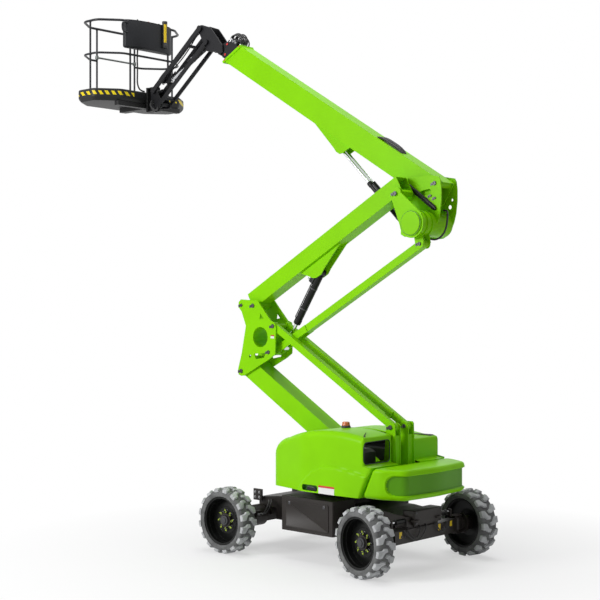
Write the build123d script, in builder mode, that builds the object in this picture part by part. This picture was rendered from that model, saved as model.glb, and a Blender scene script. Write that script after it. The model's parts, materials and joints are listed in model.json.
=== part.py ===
from build123d import *
import os
from math import cos, sin, radians, degrees, hypot, atan2

build_add = add

# Articulating boom lift, millimetres.  +X points to the basket, +Y to the machine's left, +Z up.
# The origin lies on the ground midway between the four wheels, under the slew centre.

# ---------------------------------------------------------------- wheels and chassis
wheelbase = 2172.0
tyre_radius = 392.5
tyre_width = 242.0
overall_width = 2089.0
tread_depth = 22.0
rim_radius = 288.0
rim_wall = 10.0
hub_radius = 86.0
hub_flange_radius = 128.0
stud_circle = 105.0
stud_radius = 9.0
stud_count = 8
steer_show = 11.2           # both steered wheels stand turned by this angle
steer_limit = 32.0
kingpin_inset = 190.0       # from the tyre's middle plane to the kingpin
kingpin_radius = 24.0
frame_length = 1560.0
frame_width = 620.0
frame_bottom = 350.0
frame_top = 640.0
frame_wall = 16.0
axle_height = 150.0
axle_depth = 170.0
side_box_length = 800.0
side_box_bottom = 334.0
side_box_top = 735.0
side_box_outer = 705.0
slew_radius = 370.0
slew_height = 70.0

# ---------------------------------------------------------------- turret
turret_bottom = 820.0
deck_thickness = 30.0
turret_half_width = 720.0
turret_front = 640.0
turret_rear = -785.0
slot_half_width = 200.0     # open lane between the hoods where the booms lie
hood_wall = 12.0
hinge_x = 620.0             # upright hinge of each hood, at its front inner corner
hinge_y = 215.0
hinge_radius = 10.0
hinge_top = 1135.0
weight_rear = -1395.0
weight_top = 1162.0

# ---------------------------------------------------------------- folding linkage, side view (X, Z)
link_length = 2200.0
link_angle = 31.0
riser_length = 2625.0
riser_angle = 29.35
mast_pin = (-818.0, 1572.0)
elbow_riser = (346.0, 253.0)        # riser pin, from the lower tie's top pin
elbow_boom = (552.0, -577.0)        # lower boom pin, from the lower tie's top pin
tie_drop = (-273.0, -578.0)         # upper tie's pin below the riser's pin, at both ends
elbow_tube = (215.0, -140.0)        # open cross tube of the elbow, from the lower tie's top pin
elbow_bore = 127.0
drum_offset = (-227.0, -345.0)      # cross drum of the top knuckle, from the riser's top pin
boom_pivot = (-333.0, 121.0)        # upper boom pin, from the riser's top pin
pin_radius = 28.0
pin_gap = 0.4

lower_boom_height = 236.0
lower_boom_width = 240.0
lower_boom_below = 34.0             # box under its own pin line
lower_tie_height = 86.0
lower_tie_width = 50.0
lower_tie_inner = 90.0              # inner face of each of the two bars
tie_fork = 220.0                    # thin bar ends, as long as this from their pins
tie_thicker = 22.0
riser_height = 208.0
riser_width = 200.0
riser_below = 8.0
upper_tie_height = 90.0
upper_tie_width = 100.0
box_wall = 9.0
plate = 16.0
elbow_inner = 143.0                 # inner face of the elbow's side plates
knuckle_near = 143.0                # inner face of the top knuckle's near plate
boom_centre_y = -290.0              # the upper boom lies beside the riser
boom_lane = 130.0                   # half the gap between the upper boom's side plates
drum_radius = 145.0

# ---------------------------------------------------------------- upper boom, fly, jib
boom_angle = 31.25
boom_height = 290.0
boom_width = 224.0
boom_below = 239.0
mouth_set_back = 190.0             # top edge of the boom's mouth behind its lower edge
mouth_lip = 14.0
mouth_thick = 34.0
boom_length = 3955.0
boom_tail = 70.0
fly_clearance = 14.0
fly_head = (boom_length + 169.0, -162.0)    # jib head pin: along the boom, above its pivot line
lift_pin = (1545.0, -344.0)         # upper lift cylinders' rod pin on the boom
lift_base = (94.0, -422.0)          # their base pin, from the riser's top pin
lift_spread = 38.0                  # each cylinder from the boom's middle plane
jib_top = (377.0, 338.0)            # jib arm's pin, from the jib head pin
jib_low = (-130.0, -200.0)          # lower jib link, from the jib arm's pin
jib_length = 1200.0
jib_angle = -38.0

# ---------------------------------------------------------------- basket
basket_edge = 169.0                 # tray edge in front of the jib arm's lower pin
basket_depth = 800.0
basket_length = 1690.0
tray_height = 165.0
tray_drop = 166.0                   # tray underside below the jib arm's lower pin
rail_rise = 1100.0                  # top rail above the tray's floor
rail_radius = 17.0
post_reach = 350.0

os.makedirs("parts", exist_ok=True)


# ---------------------------------------------------------------- helpers
def save(part, name):
    part.label = name
    export_step(part, "parts/" + name + ".step")


def along(angle):
    return (cos(radians(angle)), sin(radians(angle)))


def add(point, shift, factor=1.0):
    return (point[0] + factor * shift[0], point[1] + factor * shift[1])


def turn(shift, angle):
    c, s = along(angle)
    return (c * shift[0] - s * shift[1], s * shift[0] + c * shift[1])


def side(y=0.0):
    # side-view plane: sketch x is world X, sketch y is world Z, extrusion both ways along Y
    return Plane.XZ.offset(-y)


def boom_plane(point, angle, y=0.0):
    # sketch x runs along a boom, sketch y points up from it, in the vertical plane at y
    c, s = along(angle)
    return Plane(origin=(point[0], y, point[1]), x_dir=(c, 0, s), z_dir=(0, -1, 0))


def box_plane(point, angle, distance, height, y=0.0):
    # plane across a boom at a distance along it and a height above its pin line
    c, s = along(angle)
    origin = (point[0] + c * distance - s * height, y, point[1] + s * distance + c * height)
    return Plane(origin=origin, x_dir=(0, 1, 0), z_dir=(c, 0, s))


def slab(points, y, thick=plate, rounds=(), holes=(), mode=Mode.ADD):
    # upright plate from its side-view outline, with round ends and round holes
    with BuildSketch(side(y)) as shape:
        if points:
            with BuildLine():
                Polyline(*points, close=True)
            make_face()
        for centre, radius in rounds:
            with Locations(centre):
                Circle(radius)
        for centre, radius in holes:
            with Locations(centre):
                Circle(radius, mode=Mode.SUBTRACT)
    extrude(shape.sketch, amount=thick / 2, both=True, mode=mode)


def pin(centre, y_low, y_high, radius=pin_radius, mode=Mode.ADD):
    with BuildSketch(side((y_low + y_high) / 2)) as shape:
        with Locations(centre):
            Circle(radius)
    extrude(shape.sketch, amount=(y_high - y_low) / 2, both=True, mode=mode)


def bore(centre, y_low, y_high, radius=pin_radius + pin_gap):
    pin(centre, y_low, y_high, radius, Mode.SUBTRACT)


def beam(point, angle, start, end, low, high, half_width, y=0.0, corner=0.0, mode=Mode.ADD):
    # straight box along a boom, from its start to its end and from low to high off the pin line
    with BuildSketch(box_plane(point, angle, start, (low + high) / 2, y)) as shape:
        if corner:
            RectangleRounded(2 * half_width, high - low, corner)
        else:
            Rectangle(2 * half_width, high - low)
    extrude(shape.sketch, amount=end - start, mode=mode)


def rod(start, end, y, radius):
    # round bar between two side-view points
    length = hypot(end[0] - start[0], end[1] - start[1])
    angle = degrees(atan2(end[1] - start[1], end[0] - start[0]))
    with BuildSketch(box_plane(start, angle, 0, 0, y)) as shape:
        Circle(radius)
    extrude(shape.sketch, amount=length)


def bar_outline(start, end, half_height):
    # side-view rectangle between two points
    length = hypot(end[0] - start[0], end[1] - start[1])
    up = (-(end[1] - start[1]) / length * half_height, (end[0] - start[0]) / length * half_height)
    return [add(start, up), add(end, up), add(end, up, -1), add(start, up, -1)]


# ---------------------------------------------------------------- named points, side view
lower_tie_top = add(mast_pin, along(link_angle), link_length)
riser_foot = add(lower_tie_top, elbow_riser)
boom_foot_top = add(lower_tie_top, elbow_boom)
lower_boom_pin = add(boom_foot_top, along(link_angle), -link_length)
upper_tie_foot = add(riser_foot, tie_drop)
riser_top = add(riser_foot, along(180.0 - riser_angle), riser_length)
upper_tie_top = add(riser_top, tie_drop)
elbow_centre = add(lower_tie_top, elbow_tube)
drum_centre = add(riser_top, drum_offset)
boom_pin = add(riser_top, boom_pivot)
head_pin = add(boom_pin, turn(fly_head, boom_angle))
lift_top = add(boom_pin, turn(lift_pin, boom_angle))
lift_foot = add(riser_top, lift_base)
jib_pin = add(head_pin, jib_top)
jib_low_pin = add(jib_pin, jib_low)
basket_pin = add(jib_pin, along(jib_angle), jib_length)
basket_low_pin = add(basket_pin, jib_low)

# ================================================================ wheels
axle_x = wheelbase / 2
wheel_y = overall_width / 2 - tyre_width / 2
kingpin_y = wheel_y - kingpin_inset


def wheel_plane(x, y, turned):
    # the wheel's own plane: its z axis points outward along the wheel's spin axis
    outward = 1 if y > 0 else -1
    if turned:
        a = radians(-steer_show)
        pin = (x, kingpin_y * outward)
        arm = kingpin_inset * outward
        centre = (pin[0] - arm * sin(a), pin[1] + arm * cos(a))
        normal = (-outward * sin(a), outward * cos(a), 0)
    else:
        centre = (x, y)
        normal = (0, outward, 0)
    x_dir = (normal[1], -normal[0], 0)
    return Plane(origin=(centre[0], centre[1], tyre_radius), x_dir=x_dir, z_dir=normal)


carcass_radius = tyre_radius - tread_depth
half = tyre_width / 2
lug_pairs = 16
shoulder = 30.0
lug_top = 388.8             # flat top of a lug, so that its corners reach the tyre's radius
# outline of one lug: across the tread from its middle, and round the tread
lug_outline = ((half - 1, -20), (half - 1, 22), (4, 54), (-8, 28), (42, -8))


def tread_ring(radius, z):
    with BuildSketch(Plane.XY.offset(z)) as ring:
        RegularPolygon(radius, 2 * lug_pairs)
    return ring.sketch


def make_tyre():
    side_radius = carcass_radius - 42
    with BuildPart() as tyre:
        extrude(tread_ring(carcass_radius, -half + shoulder), amount=tyre_width - 2 * shoulder)
        for hand in (-1, 1):
            loft([tread_ring(carcass_radius, hand * (half - shoulder)), tread_ring(side_radius, hand * half)])
        for i in range(lug_pairs):
            for hand in (-1, 1):
                turned = (i + (0.5 if hand > 0 else 0.0)) * 360.0 / lug_pairs
                c, s = along(turned)
                with BuildSketch(Plane(origin=(345 * c, 345 * s, 0), x_dir=(0, 0, 1), z_dir=(c, s, 0))) as lug:
                    with BuildLine():
                        Polyline(*[(hand * y, x) for y, x in lug_outline[::hand]], close=True)
                    make_face()
                extrude(lug.sketch, amount=lug_top - 345, dir=(c, s, 0))
        with BuildSketch(Plane.XY.offset(-half - 1)) as bead:
            Circle(rim_radius)
        extrude(bead.sketch, amount=tyre_width + 2, mode=Mode.SUBTRACT)
    return tyre.part


def make_rim(plane):
    with BuildPart() as rim:
        with BuildSketch(Plane(plane.origin, x_dir=plane.x_dir, z_dir=plane.y_dir)):
            with BuildLine():
                Polyline((rim_radius - 0.3, -half + 14), (rim_radius - 0.3, half - 14),
                         (rim_radius - 14, half - 10), (rim_radius - 24, half - 22), (rim_radius - 26, 30),
                         (hub_flange_radius + 30, 6), (hub_radius, 6), (hub_radius, -8),
                         (hub_flange_radius + 30, -8), (rim_radius - 36, 16), (rim_radius - 24, -half + 20),
                         close=True)
            make_face()
        revolve(axis=Axis(plane.origin, plane.z_dir))
        with BuildSketch(plane.offset(6)):
            with PolarLocations(stud_circle, stud_count):
                Circle(stud_radius)
        extrude(amount=26)
    return rim.part


wheels = {
    "front_left": (axle_x, wheel_y, False),
    "front_right": (axle_x, -wheel_y, False),
    "rear_left": (-axle_x, wheel_y, True),
    "rear_right": (-axle_x, -wheel_y, True),
}
plain_tyre = make_tyre()
for name, (x, y, turned) in wheels.items():
    place = wheel_plane(x, y, turned)
    save(place.location * plain_tyre, name + "_tyre")
    save(make_rim(place), name + "_rim")

# ================================================================ chassis
axle_z = tyre_radius
axle_top = axle_z + axle_height / 2
frame_end = axle_x + 65.0
saddle = 22.0
tie_down_radius = 16.0
tie_down_y = 210.0
tie_down_thick = 25.0
tie_down_x = frame_end + 45.0
tie_down_z = axle_top + saddle + 62.0

with BuildPart() as chassis_frame:
    with BuildSketch(side()):
        with BuildLine():
            Polyline((-frame_end, axle_top + saddle), (-frame_end + 290, axle_top + saddle),
                     (-frame_length / 2 - 80, frame_bottom), (frame_length / 2 + 80, frame_bottom),
                     (frame_end - 290, axle_top + saddle), (frame_end, axle_top + saddle),
                     (frame_end, frame_top - 40), (frame_length / 2, frame_top),
                     (-frame_length / 2, frame_top), (-frame_end, frame_top - 40), close=True)
        make_face()
    extrude(amount=frame_width / 2, both=True)
    # open underside between the side members
    with BuildSketch(Plane.XY.offset(frame_bottom - 1)):
        RectangleRounded(frame_length - 300, frame_width - 4 * frame_wall, 60)
    extrude(amount=frame_top - frame_bottom - 2 * frame_wall, mode=Mode.SUBTRACT)
    # slew bearing seat
    with BuildSketch(Plane.XY.offset(frame_top - 10)):
        Circle(frame_width / 2 - 8)
    extrude(amount=turret_bottom - slew_height - frame_top + 9.7)
    with BuildSketch(Plane.XY.offset(side_box_top + 3)):
        Circle(slew_radius + 30)
    extrude(amount=turret_bottom - slew_height - side_box_top - 3.3)
    # arms that carry the side boxes
    with BuildSketch(Plane.XY.offset(side_box_top - 140)):
        with Locations((-250, 0), (250, 0)):
            Rectangle(70, 2 * side_box_outer - 60)
    extrude(amount=45)
    # tie-down lugs at both ends
    for end in (-1, 1):
        for hand in (-1, 1):
            with BuildSketch(Plane.XY.offset(tie_down_z)):
                with Locations((end * (frame_end + 20), hand * tie_down_y)):
                    Rectangle(60, 90)
                with Locations((end * tie_down_x, hand * tie_down_y)):
                    Circle(45)
                with Locations((end * tie_down_x, hand * tie_down_y)):
                    Circle(tie_down_radius, mode=Mode.SUBTRACT)
            extrude(amount=tie_down_thick / 2, both=True)
save(chassis_frame.part, "chassis_frame")

for name, hand in (("left", 1), ("right", -1)):
    with BuildPart() as side_box:
        with BuildSketch(side(hand * (side_box_outer + frame_width / 2 + 0.3) / 2)):
            with Locations((0, (side_box_bottom + side_box_top) / 2)):
                Rectangle(side_box_length, side_box_top - side_box_bottom)
        extrude(amount=(side_box_outer - frame_width / 2 - 0.3) / 2, both=True)
        chamfer(side_box.edges().filter_by(Axis.Z), length=8)
        with BuildSketch(Plane.XY.offset(side_box_top - 140.3)):
            with Locations((-250, 0), (250, 0)):
                Rectangle(70.6, 2 * side_box_outer - 59.4)
        extrude(amount=45.6, mode=Mode.SUBTRACT)
        with BuildSketch(side(hand * side_box_outer)):
            with Locations((0, (side_box_bottom + side_box_top) / 2 - 10)):
                RectangleRounded(side_box_length - 160, side_box_top - side_box_bottom - 110, 14)
        extrude(amount=5, both=True)
    save(side_box.part, name + "_side_box")

axle_half = wheel_y - tyre_width / 2 - 4
with BuildPart() as fixed_axle:
    with BuildSketch(Plane.XY.offset(axle_z - axle_height / 2)):
        with Locations((axle_x, 0)):
            Rectangle(axle_depth, 2 * axle_half - 120)
    extrude(amount=axle_height)
    for hand in (-1, 1):
        with BuildSketch(side(hand * (axle_half + frame_width / 2 + 40) / 2)):
            with Locations((axle_x, axle_z)):
                Circle(hub_flange_radius)
        extrude(amount=(axle_half - frame_width / 2 - 40) / 2, both=True)
    with BuildSketch(side(0)):
        with Locations((axle_x, axle_z)):
            Circle(hub_radius - pin_gap)
    extrude(amount=wheel_y + 40, both=True)
    with BuildSketch(Plane.XY.offset(axle_z)):
        with Locations((axle_x - 30, 0)):
            Rectangle(180, frame_width - 60)
    extrude(amount=axle_top + saddle - 0.3 - axle_z)
save(fixed_axle.part, "fixed_axle")

fork_reach = 60.0
fork_low = 105.0
fork_gap = 77.0
with BuildPart() as steer_axle:
    with BuildSketch(Plane.XY.offset(axle_z - axle_height / 2)):
        with Locations((-axle_x, 0)):
            Rectangle(axle_depth, 2 * (kingpin_y - 190))
            Rectangle(100, 2 * (kingpin_y - 75))
    extrude(amount=axle_height)
    with BuildSketch(Plane.XY.offset(axle_z)):
        with Locations((-axle_x + 30, 0)):
            Rectangle(180, frame_width - 60)
    extrude(amount=axle_top + saddle - 0.3 - axle_z)
    # kingpin forks
    for hand in (-1, 1):
        for low in (axle_z - fork_low, axle_z + fork_gap):
            with BuildSketch(Plane.XY.offset(low)):
                with Locations((-axle_x, hand * (kingpin_y - 45))):
                    Rectangle(120, 90)
                with Locations((-axle_x, hand * kingpin_y)):
                    Circle(fork_reach)
            extrude(amount=fork_low - fork_gap)
        with BuildSketch(Plane.XY.offset(axle_z - fork_low)):
            with Locations((-axle_x, hand * (kingpin_y - 82))):
                Rectangle(100, 30)
        extrude(amount=2 * fork_low)
        with BuildSketch(Plane.XY.offset(axle_z - fork_low)):
            with Locations((-axle_x, hand * kingpin_y)):
                Circle(kingpin_radius)
        extrude(amount=2 * fork_low)
save(steer_axle.part, "steer_axle")

steer_arm = 190.0
steer_arm_y = kingpin_y
knuckle_height = 152.0
for name, hand in (("left", 1), ("right", -1)):
    place = wheel_plane(-axle_x, hand * wheel_y, True)
    turned = radians(-steer_show)
    arm = (-axle_x + steer_arm * cos(turned), hand * steer_arm_y + steer_arm * sin(turned))
    with BuildPart() as knuckle:
        with BuildSketch(Plane.XY.offset(axle_z - knuckle_height / 2)):
            with Locations((-axle_x, hand * kingpin_y)):
                Circle(50)
        extrude(amount=knuckle_height)
        with BuildSketch(place.offset(-kingpin_inset + fork_reach + 8)):
            Circle(hub_flange_radius - 8)
        extrude(amount=kingpin_inset - fork_reach - 8 - tyre_width / 2 + 24)
        with BuildSketch(place.offset(-kingpin_inset + 20)):
            Circle(68)
        extrude(amount=fork_reach)
        with BuildSketch(place.offset(-kingpin_inset + fork_reach + 8)):
            Circle(hub_radius - pin_gap)
        extrude(amount=kingpin_inset - fork_reach - 8 + 40)
        with BuildSketch(Plane.XY.offset(axle_z - 60)):
            with BuildLine():
                Polyline((-axle_x, hand * kingpin_y - 22), (arm[0], arm[1] - 18), (arm[0], arm[1] + 18),
                         (-axle_x, hand * kingpin_y + 22), close=True)
            make_face()
            with Locations(arm):
                Circle(30)
        extrude(amount=26)
        with BuildSketch(Plane.XY.offset(axle_z - knuckle_height / 2 - 1)):
            with Locations((-axle_x, hand * kingpin_y)):
                Circle(kingpin_radius + pin_gap)
        extrude(amount=knuckle_height + 2, mode=Mode.SUBTRACT)
    save(knuckle.part, name + "_steering_knuckle")

with BuildPart() as tie_rod:
    turned = radians(-steer_show)
    rod_x = -axle_x + steer_arm * cos(turned)
    rod_shift = steer_arm * sin(turned)
    with BuildSketch(Plane.XY.offset(axle_z - 60.3)):
        with Locations((rod_x, steer_arm_y + rod_shift), (rod_x, -steer_arm_y + rod_shift)):
            Circle(26)
    extrude(amount=-30)
    with BuildSketch(Plane(origin=(rod_x, rod_shift, axle_z - 75), x_dir=(1, 0, 0), z_dir=(0, 1, 0))):
        Circle(14)
    extrude(amount=steer_arm_y - 10, both=True)
save(tie_rod.part, "tie_rod")

# ================================================================ turret
with BuildPart() as turret_frame:
    with BuildSketch(Plane.XY.offset(turret_bottom)):
        with BuildLine():
            Polyline((turret_front - 60, -turret_half_width + 190), (turret_front - 60, turret_half_width - 190),
                     (100, turret_half_width - 50), (turret_rear, turret_half_width - 50),
                     (turret_rear, -turret_half_width + 50), (100, -turret_half_width + 50), close=True)
        make_face()
        with Locations((-1015, 0)):
            Rectangle(560, 700)
    extrude(amount=deck_thickness)
    with BuildSketch(Plane.XY.offset(turret_bottom - slew_height)):
        Circle(slew_radius)
    extrude(amount=slew_height + 5)
    # side plates of the boom lane
    for hand in (-1, 1):
        with BuildSketch(side(hand * (slot_half_width - 30))):
            with BuildLine():
                Polyline((360, turret_bottom + 10), (360, 940), (lower_boom_pin[0] + 90, 1060),
                         (lower_boom_pin[0] - 90, 1060), (mast_pin[0] + 95, 1200),
                         (mast_pin[0] + 62, mast_pin[1] + 30), (mast_pin[0] + 30, mast_pin[1] + 52),
                         (mast_pin[0] - 45, mast_pin[1] + 52), (mast_pin[0] - 62, mast_pin[1] + 30),
                         (mast_pin[0] - 75, 1180), (mast_pin[0] - 150, turret_bottom + 10), close=True)
            make_face()
        extrude(amount=plate / 2, both=True)
        # inner ear of the mast and pin stub of the lower tie's bar
        with BuildSketch(side(hand * (lower_tie_inner - 14))):
            with BuildLine():
                Polyline((mast_pin[0] + 60, turret_bottom + 10), (mast_pin[0] + 60, mast_pin[1] + 20),
                         (mast_pin[0] + 30, mast_pin[1] + 50), (mast_pin[0] - 30, mast_pin[1] + 50),
                         (mast_pin[0] - 60, mast_pin[1] + 20), (mast_pin[0] - 60, turret_bottom + 10),
                         close=True)
            make_face()
        extrude(amount=8, both=True)
        with BuildSketch(side(hand * (slot_half_width + 70) / 2 - hand * 5)):
            with Locations(mast_pin):
                Circle(pin_radius)
        extrude(amount=55, both=True)
        # cross plates tie each mast ear to its side plate below the bar's sweep
        with BuildSketch(Plane.XY.offset(turret_bottom + 10)):
            with Locations((mast_pin[0], hand * (slot_half_width + 60) / 2)):
                Rectangle(110, 110)
        extrude(amount=1480 - turret_bottom - 10)
    # hinge arms and pins of the hoods
    for hand in (-1, 1):
        with BuildSketch(Plane.XY.offset(turret_bottom)):
            with Locations((hinge_x - 30, hand * hinge_y)):
                Rectangle(60, 28)
            with Locations((hinge_x, hand * hinge_y)):
                Circle(14)
        extrude(amount=deck_thickness)
        with BuildSketch(Plane.XY.offset(turret_bottom)):
            with Locations((hinge_x, hand * hinge_y)):
                Circle(hinge_radius)
        extrude(amount=hinge_top - turret_bottom)
    # lower boom pin
    with BuildSketch(side()):
        with Locations(lower_boom_pin):
            Circle(pin_radius)
    extrude(amount=slot_half_width - 20, both=True)
save(turret_frame.part, "turret_frame")

seam_lean = 0.45
hood_gap = 8.0
hood_front = 690.0
hood_back = -850.0
seam_top = weight_top + 10


def seam(z, shift=0.0):
    # the leaning seam between the hoods and the counterweight
    return -800 - seam_lean * (z - turret_bottom) + shift


def body_plan(inset):
    # plan outline of the bodywork, nose to tail
    with BuildSketch() as outline:
        with BuildLine():
            Polyline((655, -590), (655, 590), (60, 718), (-500, 722), (-1080, 690), (-1345, 560),
                     (weight_rear, 0), (-1345, -560), (-1080, -690), (-500, -722), (60, -718), close=True)
        make_face()
        corners = outline.vertices()
        fillet(corners.filter_by(lambda v: v.X > 600), radius=130)
        fillet(outline.vertices().filter_by(lambda v: v.X < -1300 and abs(v.Y) > 500), radius=130)
        fillet(outline.vertices().filter_by(lambda v: -1100 < v.X < -1050), radius=260)
        fillet(outline.vertices().filter_by(lambda v: 0 < v.X < 100), radius=700)
        if inset:
            offset(amount=-inset, kind=Kind.INTERSECTION, mode=Mode.REPLACE)
    return outline.sketch


def hood_profile(inset):
    # side outline of a hood over the counterweight's seam
    with BuildSketch(side()) as outline:
        with BuildLine():
            Line((seam(turret_bottom - 20, inset), turret_bottom - 20), (hood_front - 40 - inset, turret_bottom - 20))
            Line((hood_front - 40 - inset, turret_bottom - 20), (hood_front - inset, 1075))
            ThreePointArc((hood_front - inset, 1075), (590 - 0.8 * inset, 1305 - 0.6 * inset), (380, 1410 - inset))
            ThreePointArc((380, 1410 - inset), (-230, 1540 - inset), (hood_back + inset, 1492 - inset))
            Polyline((hood_back + inset, 1492 - inset), (hood_back + inset, seam_top + 4),
                     (seam(seam_top + 4, inset), seam_top + 4), (seam(turret_bottom - 20, inset), turret_bottom - 20))
        make_face()
    return outline.sketch


def hood_body(inset, hand):
    with BuildPart() as body:
        extrude(Plane.XY.offset(turret_bottom - 10) * body_plan(inset), amount=900)
        extrude(hood_profile(inset), amount=900, both=True, mode=Mode.INTERSECT)
        with BuildSketch(Plane.XY.offset(turret_bottom + 2 if not inset else turret_bottom - 5)):
            with Locations((0, hand * (slot_half_width + 8 + 500 - 20 * (inset > 0)))):
                Rectangle(2800, 1000)
        extrude(amount=900, mode=Mode.INTERSECT)
    return body.part


with BuildPart() as counterweight:
    extrude(Plane.XY.offset(turret_bottom) * body_plan(0), amount=weight_top - turret_bottom)
    with BuildSketch(side()):
        with BuildLine():
            Polyline((seam(turret_bottom, -hood_gap), turret_bottom), (seam(weight_top, -hood_gap), weight_top),
                     (weight_rear - 20, weight_top), (weight_rear - 20, turret_bottom), close=True)
        make_face()
    extrude(amount=900, both=True, mode=Mode.INTERSECT)
    top_edges = counterweight.faces().sort_by(Axis.Z)[-1].edges()
    chamfer(top_edges.filter_by(lambda e: e.center().X < -985), length=34)
    # recessed panel across the tail
    with BuildSketch(Plane.YZ.offset(weight_rear - 30)):
        with Locations((0, (turret_bottom + weight_top) / 2 + 5)):
            SlotOverall(980, 190)
    extrude(amount=52, mode=Mode.SUBTRACT)
    # pocket for the deck, and room for the mast
    with BuildSketch(Plane.XY.offset(turret_bottom - 1)):
        with Locations((-1000, 0)):
            Rectangle(600, 2 * 350.3)
    extrude(amount=deck_thickness + 1.3, mode=Mode.SUBTRACT)
    with BuildSketch(Plane.XY.offset(turret_bottom - 1)):
        with Locations((-840, 0)):
            Rectangle(290.6, 2 * slot_half_width + 4)
    extrude(amount=400, mode=Mode.SUBTRACT)
save(counterweight.part, "counterweight")

for name, hand in (("left", 1), ("right", -1)):
    with BuildPart() as hood:
        add_shape = hood_body(0, hand) - hood_body(hood_wall, hand)
        build_add(add_shape)
        # room for the deck's tail
        with BuildSketch(Plane.XY.offset(turret_bottom - 1)):
            with Locations((-1000, 0)):
                Rectangle(600, 2 * (turret_half_width - 40))
        extrude(amount=deck_thickness + 8, mode=Mode.SUBTRACT)
        # hinge knuckles
        for low, reach in ((900, 658), (1060, 682)):
            with BuildSketch(Plane.XY.offset(low)):
                with Locations((hinge_x, hand * hinge_y)):
                    Circle(hinge_radius + 10)
                with Locations(((hinge_x + reach) / 2, hand * hinge_y)):
                    Rectangle(reach - hinge_x, 14)
            extrude(amount=60)
            with BuildSketch(Plane.XY.offset(low - 1)):
                with Locations((hinge_x, hand * hinge_y)):
                    Circle(hinge_radius + pin_gap)
            extrude(amount=62, mode=Mode.SUBTRACT)
        with BuildSketch(Plane.XY.offset(turret_bottom - 1)):
            with Locations((hinge_x + 40, hand * 220)):
                Rectangle(120, 50)
        extrude(amount=deck_thickness + 16, mode=Mode.SUBTRACT)
    save(hood.part, name + "_hood")

# ================================================================ under the hoods
with BuildPart() as power_unit:
    with BuildSketch(Plane.XY.offset(turret_bottom + deck_thickness + 0.3)):
        with Locations((-140, 420)):
            Rectangle(1000, 380)
    extrude(amount=480)
    chamfer(power_unit.faces().sort_by(Axis.Z)[-1].edges(), length=40)
save(power_unit.part, "power_unit")

with BuildPart() as battery_box:
    with BuildSketch(Plane.XY.offset(turret_bottom + deck_thickness + 0.3)):
        with Locations((-140, -420)):
            Rectangle(1000, 380)
    extrude(amount=430)
    chamfer(battery_box.faces().sort_by(Axis.Z)[-1].edges(), length=20)
save(battery_box.part, "battery_box")

beacon_spot = (-252.0, 300.0)
beacon_base = 1544.0
with BuildPart() as beacon:
    with BuildSketch(Plane.XY.offset(beacon_base)):
        with Locations(beacon_spot):
            Circle(52)
    extrude(amount=24)
    with BuildSketch(Plane.XY.offset(beacon_base + 24)):
        with Locations(beacon_spot):
            Circle(38)
    extrude(amount=46, taper=6)
save(beacon.part, "beacon")

# ================================================================ folding linkage
boss = 62.0
lower_boom_half = lower_boom_width / 2
with BuildPart() as lower_boom:
    beam(lower_boom_pin, link_angle, -70, link_length + 40, -lower_boom_below,
         lower_boom_height - lower_boom_below, lower_boom_half)
    beam(lower_boom_pin, link_angle, -80, link_length + 50, -lower_boom_below + box_wall,
         lower_boom_height - lower_boom_below - box_wall, lower_boom_half - box_wall, mode=Mode.SUBTRACT)
    for end in (lower_boom_pin, boom_foot_top):
        pin(end, -lower_boom_half, lower_boom_half, boss)
        bore(end, -lower_boom_half - 1, lower_boom_half + 1)
save(lower_boom.part, "lower_boom")

with BuildPart() as lower_tie:
    middle = lower_tie_inner + lower_tie_width / 2
    for hand in (-1, 1):
        slab(bar_outline(mast_pin, lower_tie_top, lower_tie_height / 2), hand * middle, lower_tie_width,
             rounds=((mast_pin, boss - 12), (lower_tie_top, boss - 12)),
             holes=((mast_pin, pin_radius + pin_gap),))
        # thicker between the forked ends
        beam(mast_pin, link_angle, tie_fork, link_length - tie_fork, -lower_tie_height / 2, lower_tie_height / 2,
             tie_thicker / 2, y=hand * (lower_tie_inner - tie_thicker / 2 + 1))
    # one pin joins the two bars and turns in the elbow; between them the upper tie passes when folding
    pin(lower_tie_top, -elbow_inner - plate, elbow_inner + plate)
save(lower_tie.part, "lower_tie")

elbow_edge = [(600, 300), (606, 240), (546, 177), (471, -2), (546, -353), (612, -560), (600, -622), (552, -640),
              (486, -626), (46, -405), (-41, -346), (-56, -20), (-30, 44), (31, 67), (205, 253), (262, 318),
              (560, 334)]
riser_tail = (riser_foot[0] + 60, riser_foot[1])
with BuildPart() as elbow:
    outline = [add(lower_tie_top, p) for p in elbow_edge]
    for hand in (-1, 1):
        slab(outline, hand * (elbow_inner + plate / 2))
    pin(elbow_centre, -elbow_inner - 1, elbow_inner + 1, 135)
    pin(riser_foot, -elbow_inner - plate, elbow_inner + plate)
    pin(boom_foot_top, -elbow_inner - plate, elbow_inner + plate)
    pin(upper_tie_foot, -elbow_inner - plate, elbow_inner + plate, 24)
    bore(lower_tie_top, -elbow_inner - plate - 1, elbow_inner + plate + 1)
    pin(elbow_centre, -200, 200, elbow_bore, Mode.SUBTRACT)
    # lightening holes of the side plates
    for points in (((215, 158), (160, 96), (228, 84)), ((322, -352), (132, -336), (142, -392), (290, -420))):
        slab([add(lower_tie_top, p) for p in points], 0, 400, mode=Mode.SUBTRACT)
    pin(add(lower_tie_top, (396, -384)), -200, 200, 20, Mode.SUBTRACT)
save(elbow.part, "elbow")

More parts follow.
